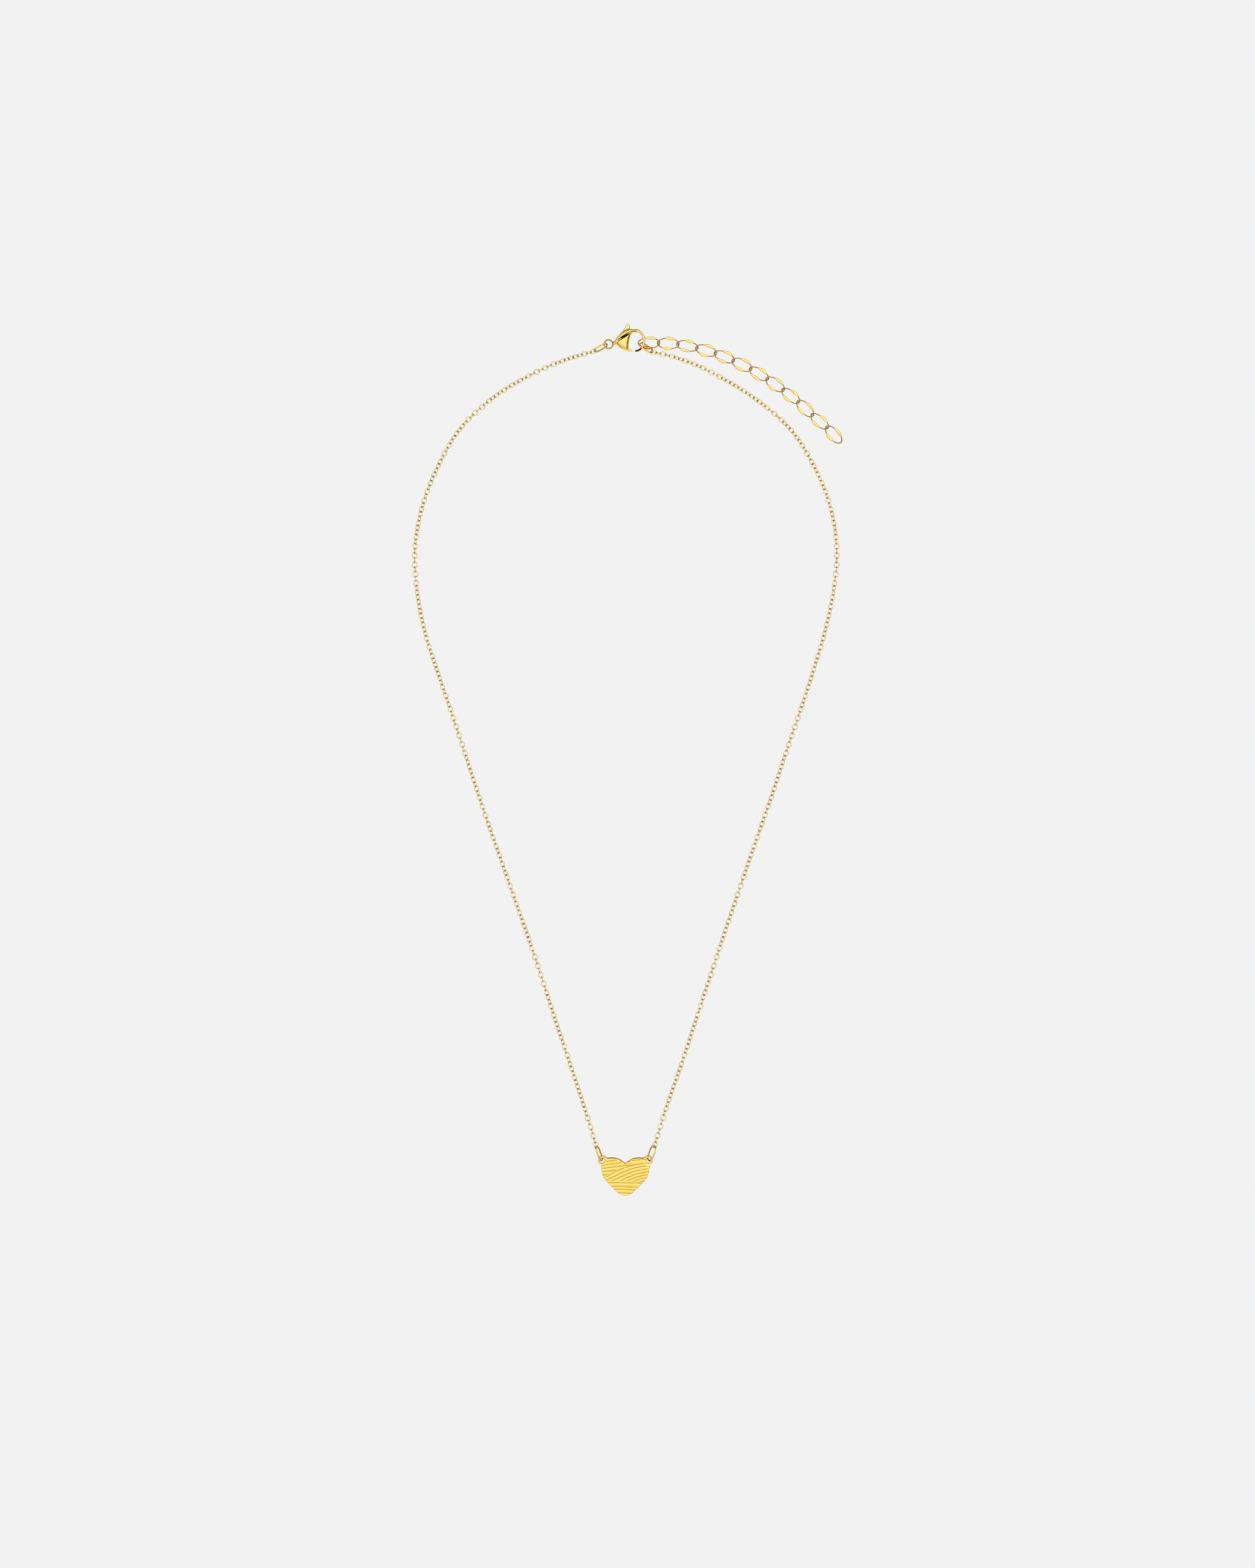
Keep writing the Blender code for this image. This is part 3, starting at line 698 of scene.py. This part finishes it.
def make_chain_half(side, route, phases, spare, material, random):
    """One half of the chain, with spare more links in its last stretch than its length asks for."""
    path = catmull(route, ROUTE_STEPS)
    along = run_along(path)
    folds = [0.0] + [along[i * ROUTE_STEPS] for i in FOLD_POINTS] + [along[-1]]
    number = 0
    for n, (start, end) in enumerate(zip(folds, folds[1:]), 1):
        first = start - (END_REACH if n == 1 else 0.0)
        last = end + (END_REACH if n == len(folds) - 1 else 0.0)
        count = round((last - first) / LINK_PITCH) + (spare if n == len(folds) - 1 else 0)
        pitch = (last - first) / count
        half_length = pitch / 2 + LINK_LAP
        parts, shades = [], []
        for i in range(count):
            centre, run = at(path, along, first + (i + 0.5) * pitch)
            roll = roll_at(first + i * pitch, phases) + 90 * (number % 2)
            across = tilted(run, roll + random.uniform(-ROLL_JITTER, ROLL_JITTER))
            line = oval_line(centre, run, across, half_length, LINK_HALF_WIDTH, LINK_STEPS)
            radii = np.full(LINK_STEPS, LINK_WIRE / 2)
            rings = link_rings(line, np.cross(run, across), LINK_SIDES, radii, radii)
            parts.append(sweep(rings, True))
            shades.append(end_shades(line, run, LINK_SIDES, *LINK_END_SHADES))
            number += 1
        name = f"{side}_chain_{n}"
        body = "chain_front" if n == 1 else f"chain_band_{n}"
        links = add_mesh(f"{side}_chain_links_{n}", *joined(parts))
        paint_shade(links, np.concatenate(shades))
        finish_piece(links, body, "pale_gold", material, name)
        spots = [first + (last - first) * i / CORD_SPANS for i in range(CORD_SPANS + 1)]
        line = [at(path, along, spot)[0] * MM for spot in spots]


# ---------------------------------------------------------------- rings and long links


def ring_piece(name, line, along, normal, wire, body, material, node):
    radii = np.full(len(line), wire / 2)
    ring = add_mesh(name, *sweep(link_rings(line, normal, RING_SIDES, radii, radii), True))
    paint_shade(ring, end_shades(line, along, RING_SIDES, *RING_END_SHADES))
    finish_piece(ring, body, "pale_gold", material, node)


def make_heart_ring(name, side, chain_end, tilt, material):
    crossing = np.array([side * EAR_CROSSING_X, EAR_Y, RING_HEIGHT])
    chain_end = np.array(chain_end)
    along = unit(chain_end - crossing)
    across = tilted(along, tilt)
    half = np.linalg.norm(chain_end - crossing) / 2
    line = oval_line(
        (chain_end + crossing) / 2, along, across, half, HEART_RING_HALF_WIDTH, HEART_RING_STEPS,
        HEART_RING_FULLNESS,
    )
    normal = np.cross(along, across)
    ring_piece(f"{name}_wire", line, along, normal, HEART_RING_WIRE, "heart_rings", material, name)


def make_long_link(name, start, end, half_width, tilt, material):
    start, end = np.array(start), np.array(end)
    along = unit(end - start)
    across = tilted(along, tilt)
    half = np.linalg.norm(end - start) / 2
    line = long_oval_line((start + end) / 2, along, across, half, half_width, LONG_LINK_STEPS)
    normal = np.cross(along, across)
    body = "fastener_rings"
    ring_piece(f"{name}_wire", line, along, normal, LONG_LINK_WIRE, body, material, name)


# ---------------------------------------------------------------- extender


def link_ends(reach):
    """1 at an extender link's two ends, by the share of its reach, and 0 well away from them."""
    return np.clip((reach - LINK_END_START) / LINK_END_SPAN, 0, 1)


def facet_profile(steps):
    """(widths, heights, swells) of the wire round an extender link, flattened midway along each
    long side and notched beside that."""
    knots = link_ends(np.abs(np.cos(2 * math.pi * np.arange(steps) / steps)))
    widths = EXTENDER_WIRE / 2 * (WIRE_SHARE + WIRE_GROWTH * knots)
    heights = widths.copy()
    swells = np.zeros(steps)
    for i in range(steps):
        angle = 360 * i / steps
        for middle in FACET_MIDDLES:
            off = (angle - middle) / FACET_HALF_SPAN
            if abs(off) < 1:
                swell = (1 - off * off) ** FACET_BLUNTNESS
                swells[i] = min(1.0, FACET_FLATTENING * swell)
                widths[i] += (FACET_HALF_WIDTH - widths[i]) * swell
                heights[i] += (FACET_THICKNESS / 2 - heights[i]) * swells[i]
            notch = abs(angle - middle - FACET_HALF_SPAN - NOTCH_OFFSET)
            if notch < NOTCH_HALF_SPAN:
                widths[i] *= NOTCH_SHARE + NOTCH_RISE * notch
                heights[i] *= NOTCH_SHARE + NOTCH_RISE * notch
    return widths, heights, swells


def extender_link(i, centre, along, roll, material, below=0.0):
    """One extender link, with painted shade as strong as below on its lower side."""
    across = tilted(along, roll)
    steps, sides = EXTENDER_STEPS, EXTENDER_SIDES
    line = oval_line(centre, along, across, EXTENDER_HALF_LENGTH, EXTENDER_HALF_WIDTH, steps)
    widths, heights, swells = facet_profile(steps)
    normal = np.cross(along, across)
    normals = [unit(normal + (UP - normal) * swell) for swell in swells]
    rings = link_rings(line, normals, sides, widths, heights)
    verts, faces = sweep(rings, True)
    name = f"extender_link_{i:02d}"
    knots = link_ends(np.abs((line - centre) @ along) / EXTENDER_HALF_LENGTH)
    # Painted shade: along the wire, in full on the inner side at the ends, and on the lower side by
    # below
    wire = (1 - swells) * (WIRE_SHADE - WIRE_END_LIGHTENING * knots)
    inner = 0.5 - 0.5 * np.cos(2 * math.pi * np.arange(sides) / sides)
    under = below * np.clip(0.5 - (line - centre) @ across / BELOW_FADE, 0, 1)
    shades = np.maximum(np.maximum(wire, under)[:, None], np.outer(knots, inner))
    link = add_mesh(f"{name}_wire", verts, faces)
    paint_shade(link, shades.ravel())
    finish_piece(link, f"extender_{i:02d}", "pale_gold", material, name)


def make_extender(material, first_material):
    along = unit(FIRST_LINK_RUN)
    centre = np.array(FIRST_LINK_END) - along * (EXTENDER_HALF_LENGTH - EXTENDER_LAP)
    # The first link takes the shaded copy of the gold, with painted shade on its lower side.
    extender_link(1, centre, along, FIRST_LINK_ROLL, first_material, FIRST_LINK_BELOW)
    crossing = np.array(EXTENDER_START)
    for i, degrees in enumerate(EXTENDER_HEADINGS, 2):
        heading = math.radians(degrees)
        along = np.array([math.cos(heading), math.sin(heading), 0.0])
        centre = crossing + along * (EXTENDER_HALF_LENGTH - EXTENDER_LAP)
        roll = EXTENDER_ROLL if i % 2 == 0 else -EXTENDER_ROLL
        extender_link(i, centre, along, roll, material)
        crossing = crossing + along * EXTENDER_PITCH


# ---------------------------------------------------------------- heart


def heart_edge(steps):
    """The heart's outline as evenly spread points, smooth but for its notch."""
    right = catmull(HEART_OUTLINE, 24)
    left = right[1:-1][::-1] * (-1.0, 1.0)
    loop = np.concatenate([right, left, right[:1]])
    along = run_along(loop)
    where = along[-1] * np.arange(steps) / steps
    return np.stack([np.interp(where, along, loop[:, k]) for k in (0, 1)], axis=1)


def inward(loop):
    """Unit vectors into the outline at each of its points."""
    ahead = np.roll(loop, -2, axis=0) - np.roll(loop, 2, axis=0)
    normals = np.stack([ahead[:, 1], -ahead[:, 0]], axis=1)
    x, y = loop.T
    turns_left = np.sum(x * np.roll(y, -1) - y * np.roll(x, -1)) > 0
    return normals * (-1 if turns_left else 1) / np.linalg.norm(normals, axis=1)[:, None]


def groove_distance(points):
    """How far each point lies from the nearest groove; a groove's ends run out."""
    away = np.full(len(points), 9.0)
    for groove in GROOVES:
        line = catmull(groove, 6)
        share = run_along(line) / run_along(line)[-1]
        for a, b, share_a, share_b in zip(line, line[1:], share, share[1:]):
            step = b - a
            t = np.clip(((points - a) @ step) / (step @ step), 0, 1)
            distance = np.linalg.norm(points - a - np.outer(t, step), axis=1)
            along = share_a + (share_b - share_a) * t
            tip = np.clip(1 - np.minimum(along, 1 - along) / GROOVE_END_SHARE, 0, 1)
            away = np.minimum(away, distance + GROOVE_END_LIFT * tip)
    return away


def ear_distance(points):
    """How far each point lies from the middle of the nearer ear's hole."""
    return np.hypot(np.abs(points[:, 0]) - EAR_X, points[:, 1] - EAR_Y)


def face_height(points):
    """The height of the heart's face: filed into ridges, and lower at the ears."""
    away = groove_distance(points)
    ridges = RIDGE_HEIGHT * np.clip(1 - away / RIDGE_REACH, 0, 1) ** 2
    grooves = GROOVE_DEPTH * np.exp(-((away / GROOVE_WIDTH) ** 2))
    plain = np.clip((ear_distance(points) - EAR_FLAT_REACH) / EAR_BLEND, 0, 1)
    plain = plain * plain * (3 - 2 * plain)
    return EAR_TOP + (HEART_THICKNESS - EAR_TOP - ridges - grooves) * plain


def heart_shades(points, normals):
    """Painted shade values for the heart: in its grooves, in its ears' holes and on the rim's upper
    side.
    """
    flat, height = points[:, :2], points[:, 2]
    grooves = np.exp(-((groove_distance(flat) / GROOVE_SHADE_WIDTH) ** 2))
    grooves = GROOVE_SHADE * grooves * (height > GROOVE_SHADE_LOW)
    holes = ear_distance(flat) < EAR_HOLE_RADIUS + EAR_HOLE_SHADE_RIM
    on_rim = (height > RIM_SHADE_LOW) & (height < face_height(flat) - RIM_SHADE_BELOW_FACE)
    rim = RIM_SHADE * on_rim * np.clip(1.6 * normals[:, 1] - 0.2, 0, 1)
    return np.maximum(np.maximum(grooves, holes), rim)


def make_heart(material):
    steps = HEART_EDGE_STEPS
    edge = heart_edge(steps)
    into = inward(edge)
    rim = RIM_LEAST + (RIM_MOST - RIM_LEAST) * np.clip(-into[:, 1], 0, 1)
    top = []
    for turn in np.linspace(0, math.pi / 2, RIM_RINGS):
        loop = edge + into * (rim * (1 - math.cos(turn)))[:, None]
        heights = face_height(loop) - RIM_DROP * rim * (1 - math.sin(turn))
        top.append(np.column_stack([loop, heights]))
    inner = edge + into * rim[:, None]
    for share in np.linspace(1, 0, HEART_FACE_RINGS + 1)[1:-1]:
        top.append(np.column_stack([inner * share, face_height(inner * share)]))
    bottom = []
    for away, height in BACK_EDGE:
        bottom.append(np.column_stack([edge + into * away, np.full(steps, height)]))
    for share in BACK_SHARES:
        bottom.append(np.column_stack([bottom[len(BACK_EDGE) - 1][:, :2] * share, np.zeros(steps)]))
    rings = bottom[::-1] + top
    verts, faces = sweep(rings, False)
    # The two end faces give way to fans about a middle point.
    faces = faces[:-2]
    middle_height = face_height(np.zeros((1, 2)))[0]
    verts = np.concatenate([verts, [[0.0, 0.0, 0.0], [0.0, 0.0, middle_height]]])
    low, high = len(verts) - 2, len(verts) - 1
    last = (len(rings) - 1) * steps
    for k in range(steps):
        after = (k + 1) % steps
        faces.append((low, after, k))
        faces.append((high, last + k, last + after))
    plate = add_mesh("heart_plate", verts, faces)
    facing_out(plate)
    for side in (-1, 1):
        plate = boolean(plate, ear_undercut(side), "DIFFERENCE")
        plate = boolean(plate, ear_hole(side), "DIFFERENCE")
    plate.name = "heart_face"
    by_angle(plate, HEART_SHARP)
    paint_shade(plate, heart_shades(points_of(plate), normals_of(plate)))
    finish_piece(plate, "heart", "polished_gold", material, "heart_pendant")


def points_of(obj):
    """An object's points in millimetres."""
    points = np.empty(len(obj.data.vertices) * 3, np.float32)
    obj.data.vertices.foreach_get("co", points)
    return points.reshape(-1, 3).astype(float) / MM


def normals_of(obj):
    normals = np.empty(len(obj.data.vertices) * 3, np.float32)
    obj.data.vertex_normals.foreach_get("vector", normals)
    return normals.reshape(-1, 3)


def upright_solid(name, centre, rings_at, steps):
    """A closed solid from (radii, height) levels, the radii one number or one for each step."""
    rings = []
    turn = 2 * math.pi * np.arange(steps) / steps
    for radii, height in rings_at:
        x, y = centre[0] + radii * np.cos(turn), centre[1] + radii * np.sin(turn)
        rings.append(np.column_stack([x, y, np.full(steps, height)]))
    solid = add_mesh(name, *sweep(rings, False))
    facing_out(solid)
    return solid


def ear_undercut(side):
    """What is cut away under an ear."""
    degrees, reaches = zip(*EAR_UNDERCUT)
    around = 5.0 * np.arange(72)
    if side < 0:
        around = (180 - around) % 360
    reach = np.interp(around, degrees, reaches)
    profile = [(reach, BELOW_ALL), (reach, EAR_LOW)]
    return upright_solid("ear_undercut", (side * EAR_X, EAR_Y), profile, len(around))


def ear_hole(side):
    """What is cut out of an ear: a hole with rounded edges."""
    r = EAR_HOLE_RADIUS
    profile = [
        (r + 0.09, BELOW_ALL), (r + 0.09, EAR_LOW), (r + 0.03, EAR_LOW + 0.03), (r, EAR_LOW + 0.1),
        (r, EAR_TOP - 0.1), (r + 0.03, EAR_TOP - 0.03), (r + 0.1, EAR_TOP),
        (r + 0.3, EAR_TOP + 0.2), (r + 0.3, ABOVE_HEART),
    ]
    return upright_solid("ear_hole", (side * EAR_X, EAR_Y), profile, 64)


# ---------------------------------------------------------------- solids


def facing_out(obj):
    shape = bmesh.new()
    shape.from_mesh(obj.data)
    bmesh.ops.recalc_face_normals(shape, faces=shape.faces)
    shape.to_mesh(obj.data)
    shape.free()


def bake(obj):
    """Applies an object's modifiers."""
    graph = bpy.context.evaluated_depsgraph_get()
    mesh = bpy.data.meshes.new_from_object(obj.evaluated_get(graph))
    obj.modifiers.clear()
    old = obj.data
    obj.data = mesh
    bpy.data.meshes.remove(old)


def boolean(obj, other, operation):
    modifier = obj.modifiers.new("Boolean", "BOOLEAN")
    modifier.operation = operation
    modifier.object = other
    bake(obj)
    bpy.data.objects.remove(other)
    return obj


def flat_plate(name, outline, low, high):
    rings = [np.column_stack([outline, np.full(len(outline), z)]) for z in (low, high)]
    plate = add_mesh(name, *sweep(rings, False))
    facing_out(plate)
    return plate


def by_angle(obj, degrees):
    """Smooth shading that breaks where faces meet at more than this angle."""
    shape = bmesh.new()
    shape.from_mesh(obj.data)
    for face in shape.faces:
        face.smooth = True
    most = math.radians(degrees)
    for edge in shape.edges:
        edge.smooth = len(edge.link_faces) == 2 and edge.calc_face_angle(0.0) < most
    shape.to_mesh(obj.data)
    shape.free()


# ---------------------------------------------------------------- clasp


def distance_to(points, line):
    """(distance, share of the line's length) of the nearest place on a line to each point."""
    best, share = np.full(len(points), 1e9), np.zeros(len(points))
    for i, (a, b) in enumerate(zip(line, line[1:])):
        step = b - a
        t = np.clip(((points - a) @ step) / (step @ step), 0, 1)
        distance = np.linalg.norm(points - a - np.outer(t, step), axis=1)
        nearer = distance < best
        best[nearer] = distance[nearer]
        share[nearer] = (i + t[nearer]) / (len(line) - 1)
    return best, share


def body_height(points, edge, spine, throat):
    """Half the clasp body's thickness at each point: a flat dome, a bevel at the throat and a
    hollow by the spine, whichever is least."""
    near_edge = 1 - np.clip(distance_to(points, edge)[0] / DOME_REACH, 0, 1)
    rise = np.sqrt(1 - near_edge**DOME_FLATNESS)
    dome = DOME_START + (BODY_HALF_THICKNESS - DOME_START) * rise
    from_throat = distance_to(points, throat)[0]
    groove = np.exp(-(((from_throat - FACET_GROOVE_AT) / FACET_GROOVE_WIDTH) ** 2))
    facet = FACET_START + FACET_RISE * from_throat - FACET_GROOVE * groove
    from_spine, share = distance_to(points, spine)
    from_middle = np.clip(np.abs(share - HOLLOW_MIDDLE) / (1 - HOLLOW_MIDDLE), 0, 1)
    slope = HOLLOW_RISE + HOLLOW_END_RISE * from_middle**2
    hollow = HOLLOW_START + slope * np.clip(from_spine - HOLLOW_REACH, 0, None)
    return np.minimum(np.minimum(dome, facet), hollow)


def clasp_shades(points):
    """Painted shade values for the clasp: in the hollow by the spine, inside the eye and at the
    hook's end.
    """
    hollow_line = catmull(HOLLOW, 4)
    from_hollow, share = distance_to(points[:, :2], hollow_line[:, :2])
    width = np.interp(share, np.linspace(0, 1, len(hollow_line)), hollow_line[:, 2])
    hollow = np.clip((width - from_hollow) / SHADE_BLUR + 0.5, 0, 1)
    from_eye = np.linalg.norm(points[:, :2] - EYE_CENTRE, axis=1)
    eye = np.clip((EYE_RADIUS + 0.02 - from_eye) / SHADE_BLUR, 0, 1)
    x, y = points[:, 0], points[:, 1]
    across, up = (x - HOOK_CENTRE[0]) / HOOK_HALF_WIDTH, (y - HOOK_CENTRE[1]) / HOOK_HALF_LENGTH
    from_hook = np.hypot(across, up)
    hook = np.clip((HOOK_SHADE_TOP - y) / HOOK_SHADE_FADE, 0, 1) * (x > HOOK_SHADE_LEFT)
    hook = hook * np.clip((HOOK_SHADE_REACH - from_hook) / 0.03, 0, 1)
    return np.maximum(np.maximum(hollow, eye), hook)


def clasp_shell():
    """The teardrop body as verts and faces, with both of its faces domed."""
    edge = catmull(BODY_OUTLINE, 10, True)
    closed = np.concatenate([edge, edge[:1]])
    spine = catmull(SPINE, 8)
    throat = catmull(BODY_OUTLINE[6:12], 8)
    centre = np.array(BODY_CENTRE)
    top, bottom = [], []
    for share in np.linspace(1, 0, BODY_RINGS)[:-1]:
        loop = centre + (edge - centre) * share
        height = body_height(loop, closed, spine[:, :2], throat)
        if share == 1:
            height = np.full(len(loop), BODY_EDGE_HALF_THICKNESS)
        top.append(np.column_stack([loop, CLASP_HEIGHT + height]))
        bottom.append(np.column_stack([loop, CLASP_HEIGHT - height]))
    return sweep(bottom[::-1] + top, False)


def make_clasp_body(material):
    """The cast body with its spine, hook, neck and eye, slotted for the lever."""
    shell = add_mesh("clasp_cast", *clasp_shell())
    facing_out(shell)
    low, high = CLASP_HEIGHT - SLOT_THICKNESS / 2, CLASP_HEIGHT + SLOT_THICKNESS / 2
    slot = flat_plate("lever_slot", np.array(SLOT_OUTLINE), low, high)

    rail = catmull(SPINE + [RAIL_END], 8)
    along = np.linspace(0, 1, len(rail))
    shares, lifts, radii = np.array(RAIL_PROFILE).T
    lifts, radii = np.interp(along, shares, lifts), np.interp(along, shares, radii)
    parts = []
    for side in (-1, 1):
        line = np.column_stack([rail, CLASP_HEIGHT + side * lifts])
        parts.append(wire_tube(line, radii, CAST_TUBE_SIDES))
    hook = hook_line()
    parts.append(wire_tube(hook, np.linspace(*HOOK_RADII, len(hook)), CAST_TUBE_SIDES))
    neck = np.column_stack([np.linspace(*NECK, 8), np.full(8, CLASP_HEIGHT)])
    parts.append(wire_tube(neck, np.full(len(neck), NECK_RADIUS), CAST_TUBE_SIDES))
    eye = oval_line(np.array([*EYE_CENTRE, CLASP_HEIGHT]), RIGHT, AHEAD, EYE_RADIUS, EYE_RADIUS, 64)
    radii = np.full(len(eye), EYE_WIRE / 2)
    parts.append(sweep(link_rings(eye, UP, CAST_TUBE_SIDES, radii, radii), True))
    extras = add_mesh("clasp_extras", *joined(parts))
    facing_out(extras)

    cast = remeshed([shell, extras], CAST_VOXEL, 4)
    cast.name = "clasp_cast_body"
    cast = boolean(cast, slot, "DIFFERENCE")
    cast = boolean(cast, rivet_hole(high + RIVET_HOLE_OVER), "DIFFERENCE")
    by_angle(cast, CLASP_SHARP)
    paint_shade(cast, clasp_shades(points_of(cast)))
    finish_piece(cast, "clasp", "polished_gold", material, "clasp_body")


def remeshed(objects, voxel, smoothing):
    """Closed shapes cast into one by a voxel remesh, done at a thousand times their size."""
    shape = bmesh.new()
    for obj in objects:
        shape.from_mesh(obj.data)
        bpy.data.objects.remove(obj)
    for vert in shape.verts:
        vert.co /= MM
    mesh = bpy.data.meshes.new("cast")
    shape.to_mesh(mesh)
    shape.free()
    cast = bpy.data.objects.new("cast", mesh)
    bpy.context.scene.collection.objects.link(cast)
    remesh = cast.modifiers.new("Remesh", "REMESH")
    remesh.mode = "VOXEL"
    remesh.voxel_size = voxel
    remesh.use_smooth_shade = True
    smooth = cast.modifiers.new("Smooth", "SMOOTH")
    smooth.factor = 0.5
    smooth.iterations = smoothing
    bake(cast)
    for vert in cast.data.vertices:
        vert.co *= MM
    return cast


def rivet_hole(top):
    """What is cut out for the rivet, up to a height."""
    profile = [(RIVET_HOLE_RADIUS, BELOW_ALL), (RIVET_HOLE_RADIUS, top)]
    return upright_solid("rivet_hole", RIVET_CENTRE, profile, 48)


def hook_line():
    points = []
    for i in range(HOOK_STEPS + 1):
        angle = math.radians(HOOK_START - HOOK_TURN * i / HOOK_STEPS)
        x = HOOK_CENTRE[0] + HOOK_HALF_WIDTH * math.cos(angle)
        y = HOOK_CENTRE[1] + HOOK_HALF_LENGTH * math.sin(angle)
        points.append((x, y, CLASP_HEIGHT))
    return np.array(points)


def rounded_plate(name, outline, low, high, radius):
    """A flat plate with its edges rounded over."""
    into = inward(outline)
    rings = []
    for face, outer in ((low, -1), (high, 1)):
        turns = np.linspace(0, math.pi / 2, 6)
        for turn in turns[::-1] if outer < 0 else turns:
            loop = outline + into * radius * (1 - math.cos(turn))
            height = face - outer * radius * (1 - math.sin(turn))
            rings.append(np.column_stack([loop, np.full(len(loop), height)]))
    plate = add_mesh(name, *sweep(rings, False))
    facing_out(plate)
    return plate


def lever_shades(points, outline):
    """Painted shade values for the lever: along its edge, most on its left, and a strip by the
    spine.
    """
    closed = np.concatenate([outline, outline[:1]])
    from_edge, _ = distance_to(points[:, :2], closed)
    x, y = points[:, 0], points[:, 1]
    left = np.clip((y - x - LEVER_LEFT_LEVEL) / LEVER_LEFT_FADE, 0, 1) * (x < LEVER_LEFT_MOST_X)
    edge = LEVER_EDGE_SHADE + LEVER_LEFT_SHADE * left
    edge = edge * np.clip(1.1 - from_edge / LEVER_ROUNDING, 0, 1)
    from_spine, share = distance_to(points[:, :2], catmull(SPINE, 8))
    strip = np.clip((STRIP_END - from_spine) / 0.08, 0, 1)
    strip = strip * np.clip((from_spine - STRIP_START) / 0.06, 0, 1)
    return np.maximum(edge, strip * np.clip((share - STRIP_SHARE) / 0.15, 0, 1))


def make_lever(material):
    outline = catmull(LEVER_OUTLINE, 6, True)
    low, high = CLASP_HEIGHT - LEVER_THICKNESS / 2, CLASP_HEIGHT + LEVER_THICKNESS / 2
    plate = rounded_plate("lever", outline, low, high, LEVER_ROUNDING)
    lever = remeshed([plate], LEVER_VOXEL, 2)
    lever.name = "clasp_lever_plate"
    lever = boolean(lever, rivet_hole(ABOVE_CLASP), "DIFFERENCE")
    by_angle(lever, CLASP_SHARP)
    paint_shade(lever, lever_shades(points_of(lever), outline))
    finish_piece(lever, "clasp_lever", "polished_gold", material, "clasp_lever")


# ---------------------------------------------------------------- the whole necklace


def main():
    make_camera()
    bpy.context.scene.view_settings.view_transform = "Standard"
    bpy.context.scene.cycles.filter_width = PIXEL_FILTER
    random = np.random.default_rng(RANDOM_SEED)
    heart_gold, gold, chain_gold, ring_gold, link_gold, shaded_gold, steel = (
        polished_metal(name, *looks) for name, *looks in METALS
    )

    make_chain_half("left", LEFT_ROUTE, LEFT_ROLL_PHASES, LEFT_SPARE_LINKS, chain_gold, random)
    make_chain_half("right", RIGHT_ROUTE, RIGHT_ROLL_PHASES, RIGHT_SPARE_LINKS, chain_gold, random)
    make_heart_ring("left_heart_ring", -1, LEFT_ROUTE[0], LEFT_RING_TILT, ring_gold)
    make_heart_ring("right_heart_ring", 1, RIGHT_ROUTE[0], RIGHT_RING_TILT, ring_gold)
    make_long_link(
        "connector_link", LEFT_ROUTE[-1], CONNECTOR_CROSSING, CONNECTOR_HALF_WIDTH, CONNECTOR_TILT,
        ring_gold,
    )
    make_long_link(
        "end_ring", END_RING_CROSSING, RIGHT_ROUTE[-1], END_RING_HALF_WIDTH, END_RING_TILT,
        ring_gold,
    )
    make_extender(link_gold, shaded_gold)
    make_heart(heart_gold)
    make_clasp_body(gold)
    make_lever(gold)
    for name in ("clasp_rivet", "clasp_spring"):
        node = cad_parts[name]
        node.data.materials.clear()
        node.data.materials.append(steel)
    make_floor()
    make_world()


main()
